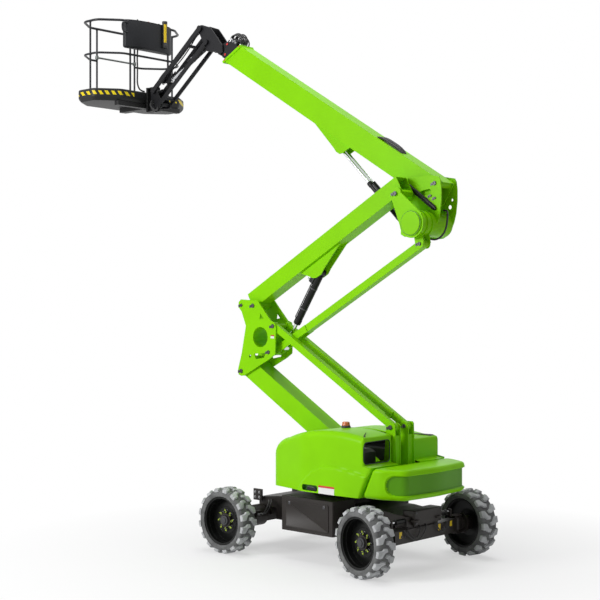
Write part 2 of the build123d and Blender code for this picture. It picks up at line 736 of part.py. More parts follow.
riser_turn = -riser_angle
riser_half = riser_width / 2
riser_high = riser_height - riser_below
riser_cylinder_top = (riser_length - 1080.0, -147.0)      # along from the riser's top pin, below its pin line
riser_cylinder_foot = (-150.0, -18.0)                       # from the upper tie's lower pin, along the tie
riser_cylinder_pin = add(riser_top, turn(riser_cylinder_top, riser_turn))
riser_cylinder_eye = add(upper_tie_foot, turn(riser_cylinder_foot, riser_turn))
with BuildPart() as riser:
    beam(riser_top, riser_turn, -60, riser_length + 60, -riser_below, riser_high, riser_half)
    beam(riser_top, riser_turn, -80, riser_length + 80, -riser_below + box_wall, riser_high - box_wall,
         riser_half - box_wall, mode=Mode.SUBTRACT)
    for end in (riser_top, riser_foot):
        pin(end, -riser_half, riser_half, boss - 7)
        bore(end, -riser_half - 1, riser_half + 1)
    # bracket of the riser cylinder
    for hand in (-1, 1):
        slab([add(riser_top, turn((riser_cylinder_top[0] + x, z), riser_turn)) for x, z in
              ((-535, 0), (255, 0), (95, -165), (45, -187), (-45, -187), (-115, -150))], hand * 60, 14)
    pin(riser_cylinder_pin, -67, 67, 20)
save(riser.part, "riser")

upper_tie_half = upper_tie_width / 2
fork_end = 620.0
with BuildPart() as upper_tie:
    low = -upper_tie_height / 2
    beam(upper_tie_top, riser_turn, 0, riser_length - fork_end + 40, low, -low, upper_tie_half)
    beam(upper_tie_top, riser_turn, 60, riser_length - fork_end + 60, low + box_wall, -low - box_wall,
         upper_tie_half - box_wall, mode=Mode.SUBTRACT)
    pin(upper_tie_top, -upper_tie_half, upper_tie_half, 45)
    bore(upper_tie_top, -upper_tie_half - 1, upper_tie_half + 1, 24 + pin_gap)
    for hand in (-1, 1):
        fork = add(upper_tie_foot, turn((-fork_end, 0), riser_turn))
        slab(bar_outline(fork, upper_tie_foot, -low), hand * (upper_tie_half + 6), 12,
             rounds=((upper_tie_foot, 45),), holes=((upper_tie_foot, 24 + pin_gap),))
    # tie plate of the fork, beyond the cylinder's eye
    pin(upper_tie_foot, -upper_tie_half - 12, upper_tie_half + 12, 42)
    bore(upper_tie_foot, -upper_tie_half - 13, upper_tie_half + 13, 24 + pin_gap)
save(upper_tie.part, "upper_tie")

barrel_length = 740.0
rod_length = 755.0
with BuildPart() as riser_cylinder_barrel:
    direction = degrees(atan2(riser_cylinder_eye[1] - riser_cylinder_pin[1],
                              riser_cylinder_eye[0] - riser_cylinder_pin[0]))
    rod(add(riser_cylinder_pin, along(direction), 24), add(riser_cylinder_pin, along(direction), barrel_length), 0, 44)
    pin(riser_cylinder_pin, -50, 50, 40)
    bore(riser_cylinder_pin, -51, 51, 20 + pin_gap)
    with BuildSketch(box_plane(riser_cylinder_pin, direction, 60, 0)):
        Circle(24.3)
    extrude(amount=barrel_length - 50, mode=Mode.SUBTRACT)
save(riser_cylinder_barrel.part, "riser_cylinder_barrel")

with BuildPart() as riser_cylinder_rod:
    rod(add(riser_cylinder_eye, along(direction), -rod_length), riser_cylinder_eye, 0, 24)
    pin(riser_cylinder_eye, -40, 40, 32)
save(riser_cylinder_rod.part, "riser_cylinder_rod")

# ================================================================ top knuckle
near_plate = boom_centre_y + boom_lane + 30 + plate / 2 - 6
boom_plates = (boom_centre_y + boom_lane + 22, boom_centre_y - boom_lane - 22)
drum_low = boom_centre_y - 145.0
with BuildPart() as top_knuckle:
    # long cross drum
    pin(drum_centre, drum_low, knuckle_near + plate + 14, drum_radius)
    # near plate from the riser pin to the drum
    near = [add(riser_top, p) for p in ((-52, 55), (-60, 20), (-368, -240), (-70, -390), (75, -20), (52, 55))]
    slab(near, knuckle_near + plate / 2, rounds=((riser_top, 75), (drum_centre, drum_radius + 22)))
    # side plates of the upper boom
    cheek = [add(riser_top, p) for p in ((-418, 150), (-395, 190), (-250, 216), (47, 200), (60, 60), (60, -120),
                                         (150, -380), (150, -450), (94, -480), (40, -480), (-160, -506),
                                         (-228, -500), (-290, -468), (-345, -403), (-384, -318), (-412, -218),
                                         (-430, -74), (-430, 60))]
    for y in boom_plates:
        slab(cheek, y)
    # lightening holes: one long in the near plate, two round in the far one
    slab(bar_outline(add(riser_top, (-165, 14)), add(riser_top, (-258, 26)), 30), boom_plates[0], 2 * plate,
         rounds=((add(riser_top, (-165, 14)), 30), (add(riser_top, (-258, 26)), 30)), mode=Mode.SUBTRACT)
    for spot, radius in (((-362, -58), 17), ((-330, -140), 26)):
        pin(add(riser_top, spot), boom_plates[1] - plate, boom_plates[1] + plate, radius, Mode.SUBTRACT)
    pin(riser_top, boom_plates[0], knuckle_near + plate + 12)
    pin(boom_pin, boom_plates[1], boom_plates[0])
    pin(lift_foot, boom_plates[1], boom_plates[0], 22)
    # lugs of the upper tie
    for hand in (-1, 1):
        slab(bar_outline(drum_centre, upper_tie_top, 60), hand * (upper_tie_half + 11), rounds=((upper_tie_top, 52),))
    pin(upper_tie_top, -upper_tie_half - 19, upper_tie_half + 19, 24)
    # open drum ends
    pin(drum_centre, drum_low - 20, drum_low + 60, drum_radius - 12, Mode.SUBTRACT)
save(top_knuckle.part, "top_knuckle")

lift_direction = degrees(atan2(lift_top[1] - lift_foot[1], lift_top[0] - lift_foot[0]))
lift_barrel = 885.0
lift_rod = 1040.0
for name, y in (("near", boom_centre_y + lift_spread), ("far", boom_centre_y - lift_spread)):
    with BuildPart() as barrel:
        rod(add(lift_foot, along(lift_direction), 24), add(lift_foot, along(lift_direction), lift_barrel), y, 32)
        pin(lift_foot, y - 34, y + 34, 38)
        bore(lift_foot, y - 35, y + 35, 22 + pin_gap)
        with BuildSketch(box_plane(lift_foot, lift_direction, 60, 0, y)):
            Circle(19.3)
        extrude(amount=lift_barrel - 50, mode=Mode.SUBTRACT)
    save(barrel.part, name + "_lift_barrel")
    with BuildPart() as rod_part:
        rod(add(lift_top, along(lift_direction), -lift_rod), lift_top, y, 19)
        pin(lift_top, y - 22, y + 22, 24)
    save(rod_part.part, name + "_lift_rod")

# ================================================================ upper boom, fly, jib
boom_half = boom_width / 2
boom_high = boom_height - boom_below
with BuildPart() as upper_boom:
    beam(boom_pin, boom_angle, -boom_tail, boom_length, -boom_below, boom_high, boom_half, boom_centre_y)
    beam(boom_pin, boom_angle, -boom_tail - 10, boom_length + 10, -boom_below + box_wall, boom_high - box_wall,
         boom_half - box_wall, boom_centre_y, mode=Mode.SUBTRACT)
    # pivot hub fills the lane between the knuckle's plates
    pin(boom_pin, boom_centre_y - boom_lane - 13, boom_centre_y + boom_lane + 13, 50)
    bore(boom_pin, boom_centre_y - boom_lane - 20, boom_centre_y + boom_lane + 20)
    # slanted mouth at the front end, its top edge set back, with a flange round it
    low_lip, high_lip = (boom_length, -boom_below - mouth_lip), (boom_length - mouth_set_back, boom_high + mouth_lip)
    slab([add(boom_pin, turn(p, boom_angle)) for p in (low_lip, high_lip, (boom_length + 20, high_lip[1]))],
         boom_centre_y, 2 * boom_half + 60, mode=Mode.SUBTRACT)
    slant = hypot(mouth_set_back, high_lip[1] - low_lip[1])
    lip_middle = add(boom_pin, turn(((low_lip[0] + high_lip[0]) / 2, (low_lip[1] + high_lip[1]) / 2), boom_angle))
    lip_normal = turn(((high_lip[1] - low_lip[1]) / slant, mouth_set_back / slant), boom_angle)
    with BuildSketch(Plane(origin=(lip_middle[0], boom_centre_y, lip_middle[1]), x_dir=(0, 1, 0),
                           z_dir=(lip_normal[0], 0, lip_normal[1]))):
        Rectangle(2 * (boom_half + mouth_lip), slant)
    extrude(amount=-mouth_thick)
    beam(boom_pin, boom_angle, boom_length - mouth_set_back - 200, boom_length + 60, -boom_below + box_wall,
         boom_high - box_wall, boom_half - box_wall, boom_centre_y, mode=Mode.SUBTRACT)
    # bracket of the lift cylinders
    for y in (boom_centre_y - lift_spread - 34, boom_centre_y + lift_spread + 34):
        slab([add(boom_pin, turn(p, boom_angle)) for p in
              ((1400, -boom_below + 5), (2130, -boom_below + 5), (1640, -370), (1580, -392), (1520, -392),
               (1480, -360))], y, 12)
save(upper_boom.part, "upper_boom")

fly_half = boom_half - box_wall - fly_clearance
fly_low = -boom_below + box_wall + fly_clearance
fly_top = boom_high - box_wall - fly_clearance
fly_start = 300.0
with BuildPart() as fly_boom:
    beam(boom_pin, boom_angle, fly_start, boom_length + 70, fly_low, fly_top, fly_half, boom_centre_y)
    beam(boom_pin, boom_angle, fly_start - 10, boom_length + 60, fly_low + box_wall, fly_top - box_wall,
         fly_half - box_wall, boom_centre_y, mode=Mode.SUBTRACT)
    # wear pads at the inner end
    beam(boom_pin, boom_angle, fly_start, fly_start + 120, -boom_below + box_wall + 0.3, boom_high - box_wall - 0.3,
         fly_half - 30, boom_centre_y)
    beam(boom_pin, boom_angle, fly_start, fly_start + 120, fly_low + 30, fly_top - 30, boom_half - box_wall - 0.3,
         boom_centre_y)
    beam(boom_pin, boom_angle, fly_start - 10, fly_start + 130, fly_low + box_wall, fly_top - box_wall,
         fly_half - box_wall, boom_centre_y, mode=Mode.SUBTRACT)
    # nose
    slab([add(boom_pin, turn(p, boom_angle)) for p in
          ((boom_length + 60, fly_low + 4), (fly_head[0] + 20, fly_low - 10), (fly_head[0] + 62, fly_low + 20),
           (fly_head[0] + 62, fly_head[1] + 40), (fly_head[0] - 30, fly_top - 60), (boom_length + 60, fly_top - 8))],
         boom_centre_y, 116)
    bore(head_pin, boom_centre_y - 60, boom_centre_y + 60)
save(fly_boom.part, "fly_boom")

head_half = 66.0
bar_inner = 86.0
bar_outer = 112.0
with BuildPart() as jib_head:
    shape = [add(head_pin, p) for p in ((-60, -30), (0, -62), (60, -20), (250, 20), (290, 110), (340, 180),
                                        (420, 320), (400, 385), (340, 385), (180, 330), (60, 190), (-50, 60))]
    for hand in (-1, 1):
        slab(shape, boom_centre_y + hand * (head_half + 8))
    pin(head_pin, boom_centre_y - head_half - 16, boom_centre_y + head_half + 16)
    pin(jib_pin, boom_centre_y - bar_outer, boom_centre_y + bar_outer, 24)
    pin(jib_low_pin, boom_centre_y - bar_outer, boom_centre_y + bar_outer, 20)
save(jib_head.part, "jib_head")

jib_eye = (900.0, -70.0)
jib_cylinder_eye = add(jib_pin, turn(jib_eye, jib_angle))
with BuildPart() as jib_arm:
    middle = (bar_inner + bar_outer) / 2
    for hand in (-1, 1):
        slab(bar_outline(jib_pin, basket_pin, 34), boom_centre_y + hand * middle, bar_outer - bar_inner,
             rounds=((jib_pin, 42), (basket_pin, 42)),
             holes=((jib_pin, 24 + pin_gap), (basket_pin, 24 + pin_gap)))
        slab([add(jib_pin, turn(p, jib_angle)) for p in
              ((800, 15), (1020, 15), (1020, -25), (940, -92), (870, -92))], boom_centre_y + hand * 42, 12)
    pin(add(jib_pin, turn((990, 0), jib_angle)), boom_centre_y - middle, boom_centre_y + middle, 26)
    pin(add(jib_pin, turn((320, 0), jib_angle)), boom_centre_y - middle, boom_centre_y + middle, 22)
save(jib_arm.part, "jib_arm")

with BuildPart() as jib_link:
    for hand in (-1, 1):
        slab(bar_outline(jib_low_pin, basket_low_pin, 26), boom_centre_y + hand * middle, bar_outer - bar_inner,
             rounds=((jib_low_pin, 36), (basket_low_pin, 36)),
             holes=((jib_low_pin, 20 + pin_gap), (basket_low_pin, 20 + pin_gap)))
    pin(add(jib_low_pin, turn((1080, 0), jib_angle)), boom_centre_y - middle, boom_centre_y + middle, 20)
save(jib_link.part, "jib_link")

jib_direction = degrees(atan2(jib_cylinder_eye[1] - jib_low_pin[1], jib_cylinder_eye[0] - jib_low_pin[0]))
jib_barrel = 560.0
jib_rod = 600.0
with BuildPart() as jib_cylinder_barrel:
    rod(add(jib_low_pin, along(jib_direction), 20), add(jib_low_pin, along(jib_direction), jib_barrel),
        boom_centre_y, 32)
    pin(jib_low_pin, boom_centre_y - 40, boom_centre_y + 40, 34)
    bore(jib_low_pin, boom_centre_y - 41, boom_centre_y + 41, 20 + pin_gap)
    with BuildSketch(box_plane(jib_low_pin, jib_direction, 60, 0, boom_centre_y)):
        Circle(18.3)
    extrude(amount=jib_barrel - 50, mode=Mode.SUBTRACT)
save(jib_cylinder_barrel.part, "jib_cylinder_barrel")

with BuildPart() as jib_cylinder_rod:
    rod(add(jib_cylinder_eye, along(jib_direction), -jib_rod), jib_cylinder_eye, boom_centre_y, 18)
    pin(jib_cylinder_eye, boom_centre_y - 28, boom_centre_y + 28, 28)
save(jib_cylinder_rod.part, "jib_cylinder_rod")

# ================================================================ basket
swivel_x = basket_pin[0] + 65.0
swivel_radius = 68.0
tray_edge = basket_pin[0] + basket_edge
tray_low = basket_low_pin[1] - tray_drop + 200.0
tray_far = tray_edge + basket_depth
tray_half = basket_length / 2
tray_mid = (tray_edge + tray_far) / 2
swivel_low = basket_low_pin[1] - 60
swivel_high = basket_pin[1] + 49
swivel_pin = 24.0
with BuildPart() as basket_carrier:
    shape = [add(basket_pin, p) for p in ((-40, 20), (-20, 42), (20, 42), (70, 20), (70, -230), (-100, -248),
                                          (-150, -248), (-172, -220), (-172, -180), (-150, -160))]
    for hand in (-1, 1):
        slab(shape, boom_centre_y + hand * (head_half + 8))
    pin(basket_pin, boom_centre_y - bar_outer, boom_centre_y + bar_outer, 24)
    pin(basket_low_pin, boom_centre_y - bar_outer, boom_centre_y + bar_outer, 20)
    with BuildSketch(Plane.XY.offset(swivel_low)):
        with Locations((swivel_x, boom_centre_y)):
            Circle(swivel_radius)
    extrude(amount=swivel_high - swivel_low)
    with BuildSketch(Plane.XY.offset(swivel_low - 17)):
        with Locations((swivel_x, boom_centre_y)):
            Circle(swivel_pin)
    extrude(amount=swivel_high - swivel_low + 34)
save(basket_carrier.part, "basket_carrier")


def oblong(half_depth, half_long, cut_depth, cut_long):
    # plan outline of the basket, an oblong with its corners cut off
    x, y = tray_mid, boom_centre_y
    return [(x + sx * dx, y + sy * dy) for sx, sy, dx, dy in (
        (1, -1, half_depth, half_long - cut_long), (1, 1, half_depth, half_long - cut_long),
        (1, 1, half_depth - cut_depth, half_long), (-1, 1, half_depth - cut_depth, half_long),
        (-1, 1, half_depth, half_long - cut_long), (-1, -1, half_depth, half_long - cut_long),
        (-1, -1, half_depth - cut_depth, half_long), (1, -1, half_depth - cut_depth, half_long))]


tray_wall = 14.0
floor_thick = 30.0
corner_depth = 230.0
corner_long = 300.0
with BuildPart() as basket_floor:
    with BuildSketch(Plane.XY.offset(tray_low)):
        with BuildLine():
            Polyline(*oblong(basket_depth / 2, tray_half, corner_depth, corner_long), close=True)
        make_face()
    extrude(amount=tray_height)
    with BuildSketch(Plane.XY.offset(tray_low + floor_thick)):
        with BuildLine():
            Polyline(*oblong(basket_depth / 2 - tray_wall, tray_half - tray_wall, corner_depth, corner_long),
                     close=True)
        make_face()
    extrude(amount=tray_height, mode=Mode.SUBTRACT)
    # beams under the tray
    with BuildSketch(Plane.XY.offset(tray_low - 60)):
        with Locations((tray_edge + 60, boom_centre_y)):
            Rectangle(80, 1150)
        with Locations((tray_mid - 60, boom_centre_y)):
            Rectangle(560, 120)
    extrude(amount=65)
    # swivel bracket
    for low, high in ((swivel_low - 17, swivel_low - 0.4), (swivel_high + 0.4, swivel_high + 17)):
        with BuildSketch(Plane.XY.offset(low)):
            with Locations((swivel_x, boom_centre_y)):
                Circle(swivel_radius)
            with Locations(((swivel_x + tray_edge + 20) / 2, boom_centre_y)):
                Rectangle(tray_edge + 20 - swivel_x, 110)
            with Locations((swivel_x, boom_centre_y)):
                Circle(swivel_pin + pin_gap, mode=Mode.SUBTRACT)
        extrude(amount=high - low)
    with BuildSketch(Plane.XY.offset(swivel_low - 17)):
        with Locations((tray_edge, boom_centre_y)):
            Rectangle(28, 150)
    extrude(amount=swivel_high - swivel_low + 34)
save(basket_floor.part, "basket_floor")

rail_depth = 370.0
rail_half = 760.0
top_rail = tray_low + floor_thick + rail_rise
mid_rail = tray_low + 670.0
post_radius = 14.0
post_spots = [(rail_depth, -post_reach), (rail_depth, post_reach), (-rail_depth, -post_reach),
              (-rail_depth, post_reach), (0, -rail_half), (0, rail_half)]
loop = oblong(rail_depth, rail_half, corner_depth, corner_long - 20)
with BuildPart() as basket_rails:
    for height, radius, gap in ((top_rail, rail_radius, 0), (mid_rail, rail_radius - 2, post_reach)):
        points = [(x, y, height) for x, y in loop[1:] + loop[:1]]
        if gap:
            points = ([(points[0][0], boom_centre_y + gap, height)] + points
                      + [(points[0][0], boom_centre_y - gap, height)])
        with BuildLine() as path:
            FilletPolyline(*points, radius=60, close=not gap)
        wire = path.wires()[0]
        with BuildSketch(Plane(origin=wire @ 0, z_dir=wire % 0)):
            Circle(radius)
        sweep(path=wire)
    for x, y in post_spots:
        with BuildSketch(Plane.XY.offset(tray_low + floor_thick + 0.3)):
            with Locations((tray_mid + x, boom_centre_y + y)):
                Circle(post_radius)
        extrude(amount=top_rail - tray_low - floor_thick)
save(basket_rails.part, "basket_rails")

bar_height = mid_rail + 48.0
bar_radius = 13.0
with BuildPart() as entry_bar:
    with BuildSketch(Plane(origin=(tray_mid + rail_depth, boom_centre_y, bar_height), x_dir=(1, 0, 0),
                           z_dir=(0, 1, 0))):
        Circle(bar_radius)
    extrude(amount=post_reach - 10, both=True)
    for hand in (-1, 1):
        with BuildSketch(Plane.XY.offset(bar_height - 24)):
            with Locations((tray_mid + rail_depth, boom_centre_y + hand * post_reach)):
                Circle(post_radius + 11)
        extrude(amount=48)
        with BuildSketch(Plane.XY.offset(bar_height - 25)):
            with Locations((tray_mid + rail_depth, boom_centre_y + hand * post_reach)):
                Circle(post_radius + 1)
        extrude(amount=50, mode=Mode.SUBTRACT)
save(entry_bar.part, "entry_bar")

console_half = 430.0
console_low = top_rail - 370.0
console_high = top_rail + 45.0
console_back = tray_mid - rail_depth + 75.0
rail_x = tray_mid - rail_depth
with BuildPart() as control_console:
    with BuildSketch(Plane.XY.offset(console_low)):
        with BuildLine():
            ThreePointArc((rail_x - 10, boom_centre_y - console_half), (rail_x - 88, boom_centre_y),
                          (rail_x - 10, boom_centre_y + console_half))
            Polyline((rail_x - 10, boom_centre_y + console_half), (console_back, boom_centre_y + console_half),
                     (console_back, boom_centre_y - console_half), (rail_x - 10, boom_centre_y - console_half))
        make_face()
    extrude(amount=console_high - console_low)
    # document tube
    with BuildSketch(Plane.XY.offset(console_low + 60)):
        with Locations((rail_x - 92, boom_centre_y - 210)):
            Circle(38)
    extrude(amount=console_high - console_low - 30)
    # channels for the rail and its posts
    with BuildSketch(Plane(origin=(rail_x, boom_centre_y, top_rail), x_dir=(1, 0, 0), z_dir=(0, 1, 0))):
        Circle(rail_radius + 0.3)
    extrude(amount=console_half + 10, both=True, mode=Mode.SUBTRACT)
    for hand in (-1, 1):
        with BuildSketch(Plane.XY.offset(console_low - 1)):
            with Locations((rail_x, boom_centre_y + hand * post_reach)):
                Circle(post_radius + 0.3)
        extrude(amount=top_rail - console_low + 2, mode=Mode.SUBTRACT)
save(control_console.part, "control_console")
print("tray", tray_edge, tray_far, tray_low, "swivel", swivel_x, swivel_low, swivel_high)
for label, point in (("F2 mast", mast_pin), ("D", lower_tie_top), ("B", riser_foot), ("C", boom_foot_top),
                     ("F1", lower_boom_pin), ("E", upper_tie_foot), ("G", riser_top), ("Gp", upper_tie_top),
                     ("H", boom_pin), ("T0", head_pin), ("M", lift_top), ("K", lift_foot), ("T1", jib_pin),
                     ("T4", jib_low_pin), ("J1", basket_pin), ("J4", basket_low_pin),
                     ("Q", riser_cylinder_pin), ("P", riser_cylinder_eye), ("jib eye", jib_cylinder_eye)):
    print(label, round(point[0], 2), round(point[1], 2))
print("directions", direction, lift_direction, jib_direction)
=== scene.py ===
# %% [markdown]
# # An articulating boom lift
# The machine stands on four solid tyres. A folding riser and a long telescopic boom carry a rail
# basket on a short jib. Its main shapes are already there as a fixed frame of named nodes, so this
# lesson only dresses them: paint, rubber and chrome, the tread and the nuts, the rounded hoods,
# smooth rails, hoses and labels. Positions come from the frame, never from guesses.

# %% Load the frame
import json
import math

import bmesh
import bpy
from mathutils import Matrix, Vector


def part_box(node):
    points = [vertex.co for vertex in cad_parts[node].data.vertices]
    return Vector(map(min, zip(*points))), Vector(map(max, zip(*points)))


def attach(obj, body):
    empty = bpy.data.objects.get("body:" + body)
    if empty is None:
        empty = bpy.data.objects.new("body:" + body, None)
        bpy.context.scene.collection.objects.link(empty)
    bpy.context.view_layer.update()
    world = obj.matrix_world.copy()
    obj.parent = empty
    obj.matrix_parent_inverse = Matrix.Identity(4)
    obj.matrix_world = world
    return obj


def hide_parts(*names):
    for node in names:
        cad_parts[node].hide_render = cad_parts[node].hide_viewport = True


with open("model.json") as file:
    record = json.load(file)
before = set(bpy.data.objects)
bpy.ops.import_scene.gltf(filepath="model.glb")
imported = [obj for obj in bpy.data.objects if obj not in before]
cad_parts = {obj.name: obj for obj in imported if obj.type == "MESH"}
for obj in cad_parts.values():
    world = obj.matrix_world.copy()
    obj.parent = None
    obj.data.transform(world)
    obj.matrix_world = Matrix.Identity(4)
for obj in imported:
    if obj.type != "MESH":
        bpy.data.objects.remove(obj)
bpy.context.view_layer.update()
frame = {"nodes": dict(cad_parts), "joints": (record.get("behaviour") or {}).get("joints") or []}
nodes = frame["nodes"]
joint_at = {j["name"]: j for j in frame["joints"]}


def corners(node):
    low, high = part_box(node)
    return low, high, (low + high) / 2


def pivot(joint):
    return Vector(joint_at[joint]["pos_m"])


# %% [markdown]
# ## Camera and studio
# A long lens far away keeps the tall machine nearly free of perspective. The floor and the world
# look white to the camera, while the lamps stay at a plain level, so the green paint keeps its own
# colour and only the shadow tells where the floor is.

# %% Camera
def new_object(name, data):
    item = bpy.data.objects.new(name, data)
    bpy.context.scene.collection.objects.link(item)
    return item


lens_data = bpy.data.cameras.new("lift_camera")
lens_data.lens = 77.0
lens_data.sensor_width = 36.0
lens_data.clip_end = 200.0
camera = new_object("lift_camera", lens_data)
camera.location = (-9.978, 11.683, 3.031)
camera.rotation_euler = (math.radians(90.0), 0.0, math.radians(-137.435))
bpy.context.scene.camera = camera
bpy.context.scene.view_settings.view_transform = "Standard"


# %% Node helpers
def new_material(name):
    material = bpy.data.materials.new(name)
    material.use_nodes = True
    tree = material.node_tree
    shader = tree.nodes["Principled BSDF"]
    return material, tree, shader


def add_node(tree, kind, **inputs):
    node = tree.nodes.new(kind)
    for key, value in inputs.items():
        node.inputs[key.replace("_", " ")].default_value = value
    return node


def wire(source, output, target, socket):
    source.id_data.links.new(source.outputs[output], target.inputs[socket])


def seen_directly(tree):
    # 1 for rays that the camera, a reflection or glass sends, 0 for rays that carry light
    rays = tree.nodes.new("ShaderNodeLightPath")
    total = rays.outputs["Is Camera Ray"]
    for output in ("Is Glossy Ray", "Is Transmission Ray"):
        join = tree.nodes.new("ShaderNodeMath")
        join.operation = "MAXIMUM"
        tree.links.new(total, join.inputs[0])
        tree.links.new(rays.outputs[output], join.inputs[1])
        total = join.outputs[0]
    return total


# %% World, lamps and floor
world = bpy.data.worlds.new("studio")
bpy.context.scene.world = world
world.use_nodes = True
sky = world.node_tree
background = sky.nodes["Background"]
background.inputs["Color"].default_value = (1, 1, 1, 1)
level = add_node(sky, "ShaderNodeMapRange", To_Min=0.20, To_Max=1.0)
sky.links.new(seen_directly(sky), level.inputs["Value"])
wire(level, "Result", background, "Strength")

lamp_table = [
    # name, place, aimed at, width, watts
    ("side_lamp", (5.0, 14.0, 7.0), (0.3, 0.0, 2.8), 5.0, 1600.0),
    ("top_lamp", (0.5, -1.0, 15.0), (0.5, 0.0, 2.0), 8.0, 1080.0),
    ("tail_lamp", (-12.0, 2.0, 4.0), (-0.5, 0.0, 1.5), 5.0, 45.0),
]
for name, place, aim, width, watts in lamp_table:
    lamp_data = bpy.data.lights.new(name, "AREA")
    lamp_data.size = width
    lamp_data.energy = watts
    lamp = new_object(name, lamp_data)
    lamp.location = place
    lamp.rotation_euler = (Vector(aim) - Vector(place)).to_track_quat("-Z", "Y").to_euler()

floor_mesh = bpy.data.meshes.new("floor")
floor_mesh.from_pydata([(-60, -60, 0), (60, -60, 0), (60, 60, 0), (-60, 60, 0)], [], [(0, 1, 2, 3)])
floor = new_object("floor", floor_mesh)
floor.location.z = -0.001
floor_material, tree, shader = new_material("floor_white")
shader.inputs["Base Color"].default_value = (0.86, 0.86, 0.87, 1)
shader.inputs["Roughness"].default_value = 0.9
glow = add_node(tree, "ShaderNodeEmission", Color=(1, 1, 1, 1), Strength=1.0)
blend_node = tree.nodes.new("ShaderNodeMixShader")
place_node = tree.nodes.new("ShaderNodeNewGeometry")
distance = tree.nodes.new("ShaderNodeVectorMath")
distance.operation = "LENGTH"
fade = add_node(tree, "ShaderNodeMapRange", From_Min=1.6, From_Max=4.6, To_Min=0.52, To_Max=1.0)
tree.links.new(place_node.outputs["Position"], distance.inputs[0])
wire(distance, "Value", fade, "Value")
gate = tree.nodes.new("ShaderNodeMath")
gate.operation = "MULTIPLY"
tree.links.new(fade.outputs["Result"], gate.inputs[0])
tree.links.new(seen_directly(tree), gate.inputs[1])
tree.links.new(gate.outputs[0], blend_node.inputs["Fac"])
tree.links.new(shader.outputs["BSDF"], blend_node.inputs[1])
tree.links.new(glow.outputs["Emission"], blend_node.inputs[2])
tree.links.new(blend_node.outputs["Shader"], tree.nodes["Material Output"].inputs["Surface"])
floor.data.materials.append(floor_material)

# %% [markdown]
# ## Finishes
# Paint on a machine is never one flat colour. Each finish below starts from one base colour,
# varies it a little with slow noise, breaks the gloss with finer noise and rounds the sheet-metal
# edges with the Bevel node, which bends only the light and leaves the frame's mesh as it is.


# %% One recipe for painted and moulded surfaces
def finish_material(name, colour, shade=0.88, slow=2.0, fine=60.0, rough=(0.25, 0.4), bump=0.08,
                    edge=0.004, metallic=0.0, shine=0.5):
    material, tree, shader = new_material(name)
    where = tree.nodes.new("ShaderNodeTexCoord")
    cloud = add_node(tree, "ShaderNodeTexNoise", Scale=slow, Detail=3.0, Roughness=0.5)
    wire(where, "Object", cloud, "Vector")
    mix = tree.nodes.new("ShaderNodeMix")
    mix.data_type = "RGBA"
    mix.inputs["A"].default_value = (*[c * shade for c in colour], 1)
    mix.inputs["B"].default_value = (*colour, 1)
    spread = add_node(tree, "ShaderNodeMapRange", From_Min=0.35, From_Max=0.6)
    wire(cloud, "Fac", spread, "Value")
    wire(spread, "Result", mix, "Factor")
    wire(mix, "Result", shader, "Base Color")
    grain = add_node(tree, "ShaderNodeTexNoise", Scale=fine, Detail=2.0, Roughness=0.6)
    wire(where, "Object", grain, "Vector")
    gloss = add_node(tree, "ShaderNodeMapRange", To_Min=rough[0], To_Max=rough[1])
    wire(grain, "Fac", gloss, "Value")
    wire(gloss, "Result", shader, "Roughness")
    relief = add_node(tree, "ShaderNodeBump", Strength=bump, Distance=0.001)
    wire(grain, "Fac", relief, "Height")
    if edge:
        soft_edge = add_node(tree, "ShaderNodeBevel", Radius=edge)
        soft_edge.samples = 4
        wire(soft_edge, "Normal", relief, "Normal")
    wire(relief, "Normal", shader, "Normal")
    shader.inputs["Metallic"].default_value = metallic
    shader.inputs["Specular IOR Level"].default_value = shine
    return material


lime = finish_material("lime_paint", (0.243, 0.655, 0.0005), shade=0.93, rough=(0.3, 0.42), bump=0.04,
    shine=0.09)
chassis_paint = finish_material("brown_black_paint", (0.020, 0.016, 0.014), shade=0.7, rough=(0.38, 0.55),
    bump=0.1, shine=0.3)
jib_paint = finish_material("jib_black_paint", (0.010, 0.010, 0.012), shade=0.7, rough=(0.35, 0.5), bump=0.08,
                            shine=0.2)
rim_paint = finish_material("rim_black_paint", (0.0055, 0.006, 0.0055), shade=0.7, rough=(0.3, 0.45),
    bump=0.05, shine=0.2)
barrel_paint = finish_material("cylinder_black_paint", (0.008, 0.008, 0.008), shade=0.8, rough=(0.3, 0.42),
    shine=0.2)
rod_chrome = finish_material("rod_chrome", (0.74, 0.75, 0.77), shade=0.96, fine=300.0, rough=(0.06, 0.14),
                             bump=0.02, edge=0.0, metallic=1.0)
tread_rubber = finish_material("light_tyre_rubber", (0.52, 0.53, 0.54), shade=0.72, slow=9.0, fine=160.0,
                               rough=(0.75, 0.95), bump=0.35, edge=0.004, shine=0.2)
# a darker copy of the tyre rubber for the carcass: painted shade in the grooves between the lugs
groove_shade_rubber = finish_material("tyre_groove_painted_shade", (0.17, 0.172, 0.172), shade=0.65, slow=12.0, fine=160.0,
                             rough=(0.8, 0.95), bump=0.4, edge=0.0, shine=0.2)
rail_paint = finish_material("rail_black_paint", (0.014, 0.015, 0.019), shade=0.8, rough=(0.3, 0.42),
    edge=0.0, shine=0.3)
bar_paint = finish_material("entry_bar_grey", (0.16, 0.18, 0.17), shade=0.85, rough=(0.3, 0.45), edge=0.0)
moulded_black = finish_material("console_moulding", (0.008, 0.009, 0.012), shade=0.8, fine=400.0,
                                rough=(0.4, 0.55), bump=0.2, edge=0.004, shine=0.3)
hose_rubber = finish_material("hose_rubber", (0.012, 0.012, 0.012), shade=0.7, fine=250.0, rough=(0.5, 0.7),
                              bump=0.2, edge=0.0)
steel = finish_material("zinc_steel", (0.42, 0.42, 0.43), shade=0.7, fine=200.0, rough=(0.25, 0.45),
                        metallic=0.9, edge=0.0)
dark_steel = finish_material("dark_steel", (0.08, 0.08, 0.085), shade=0.7, fine=200.0, rough=(0.3, 0.5),
                             metallic=0.7, edge=0.0)
yellow = finish_material("warning_yellow", (0.85, 0.6, 0.01), shade=0.92, rough=(0.35, 0.45), edge=0.0)
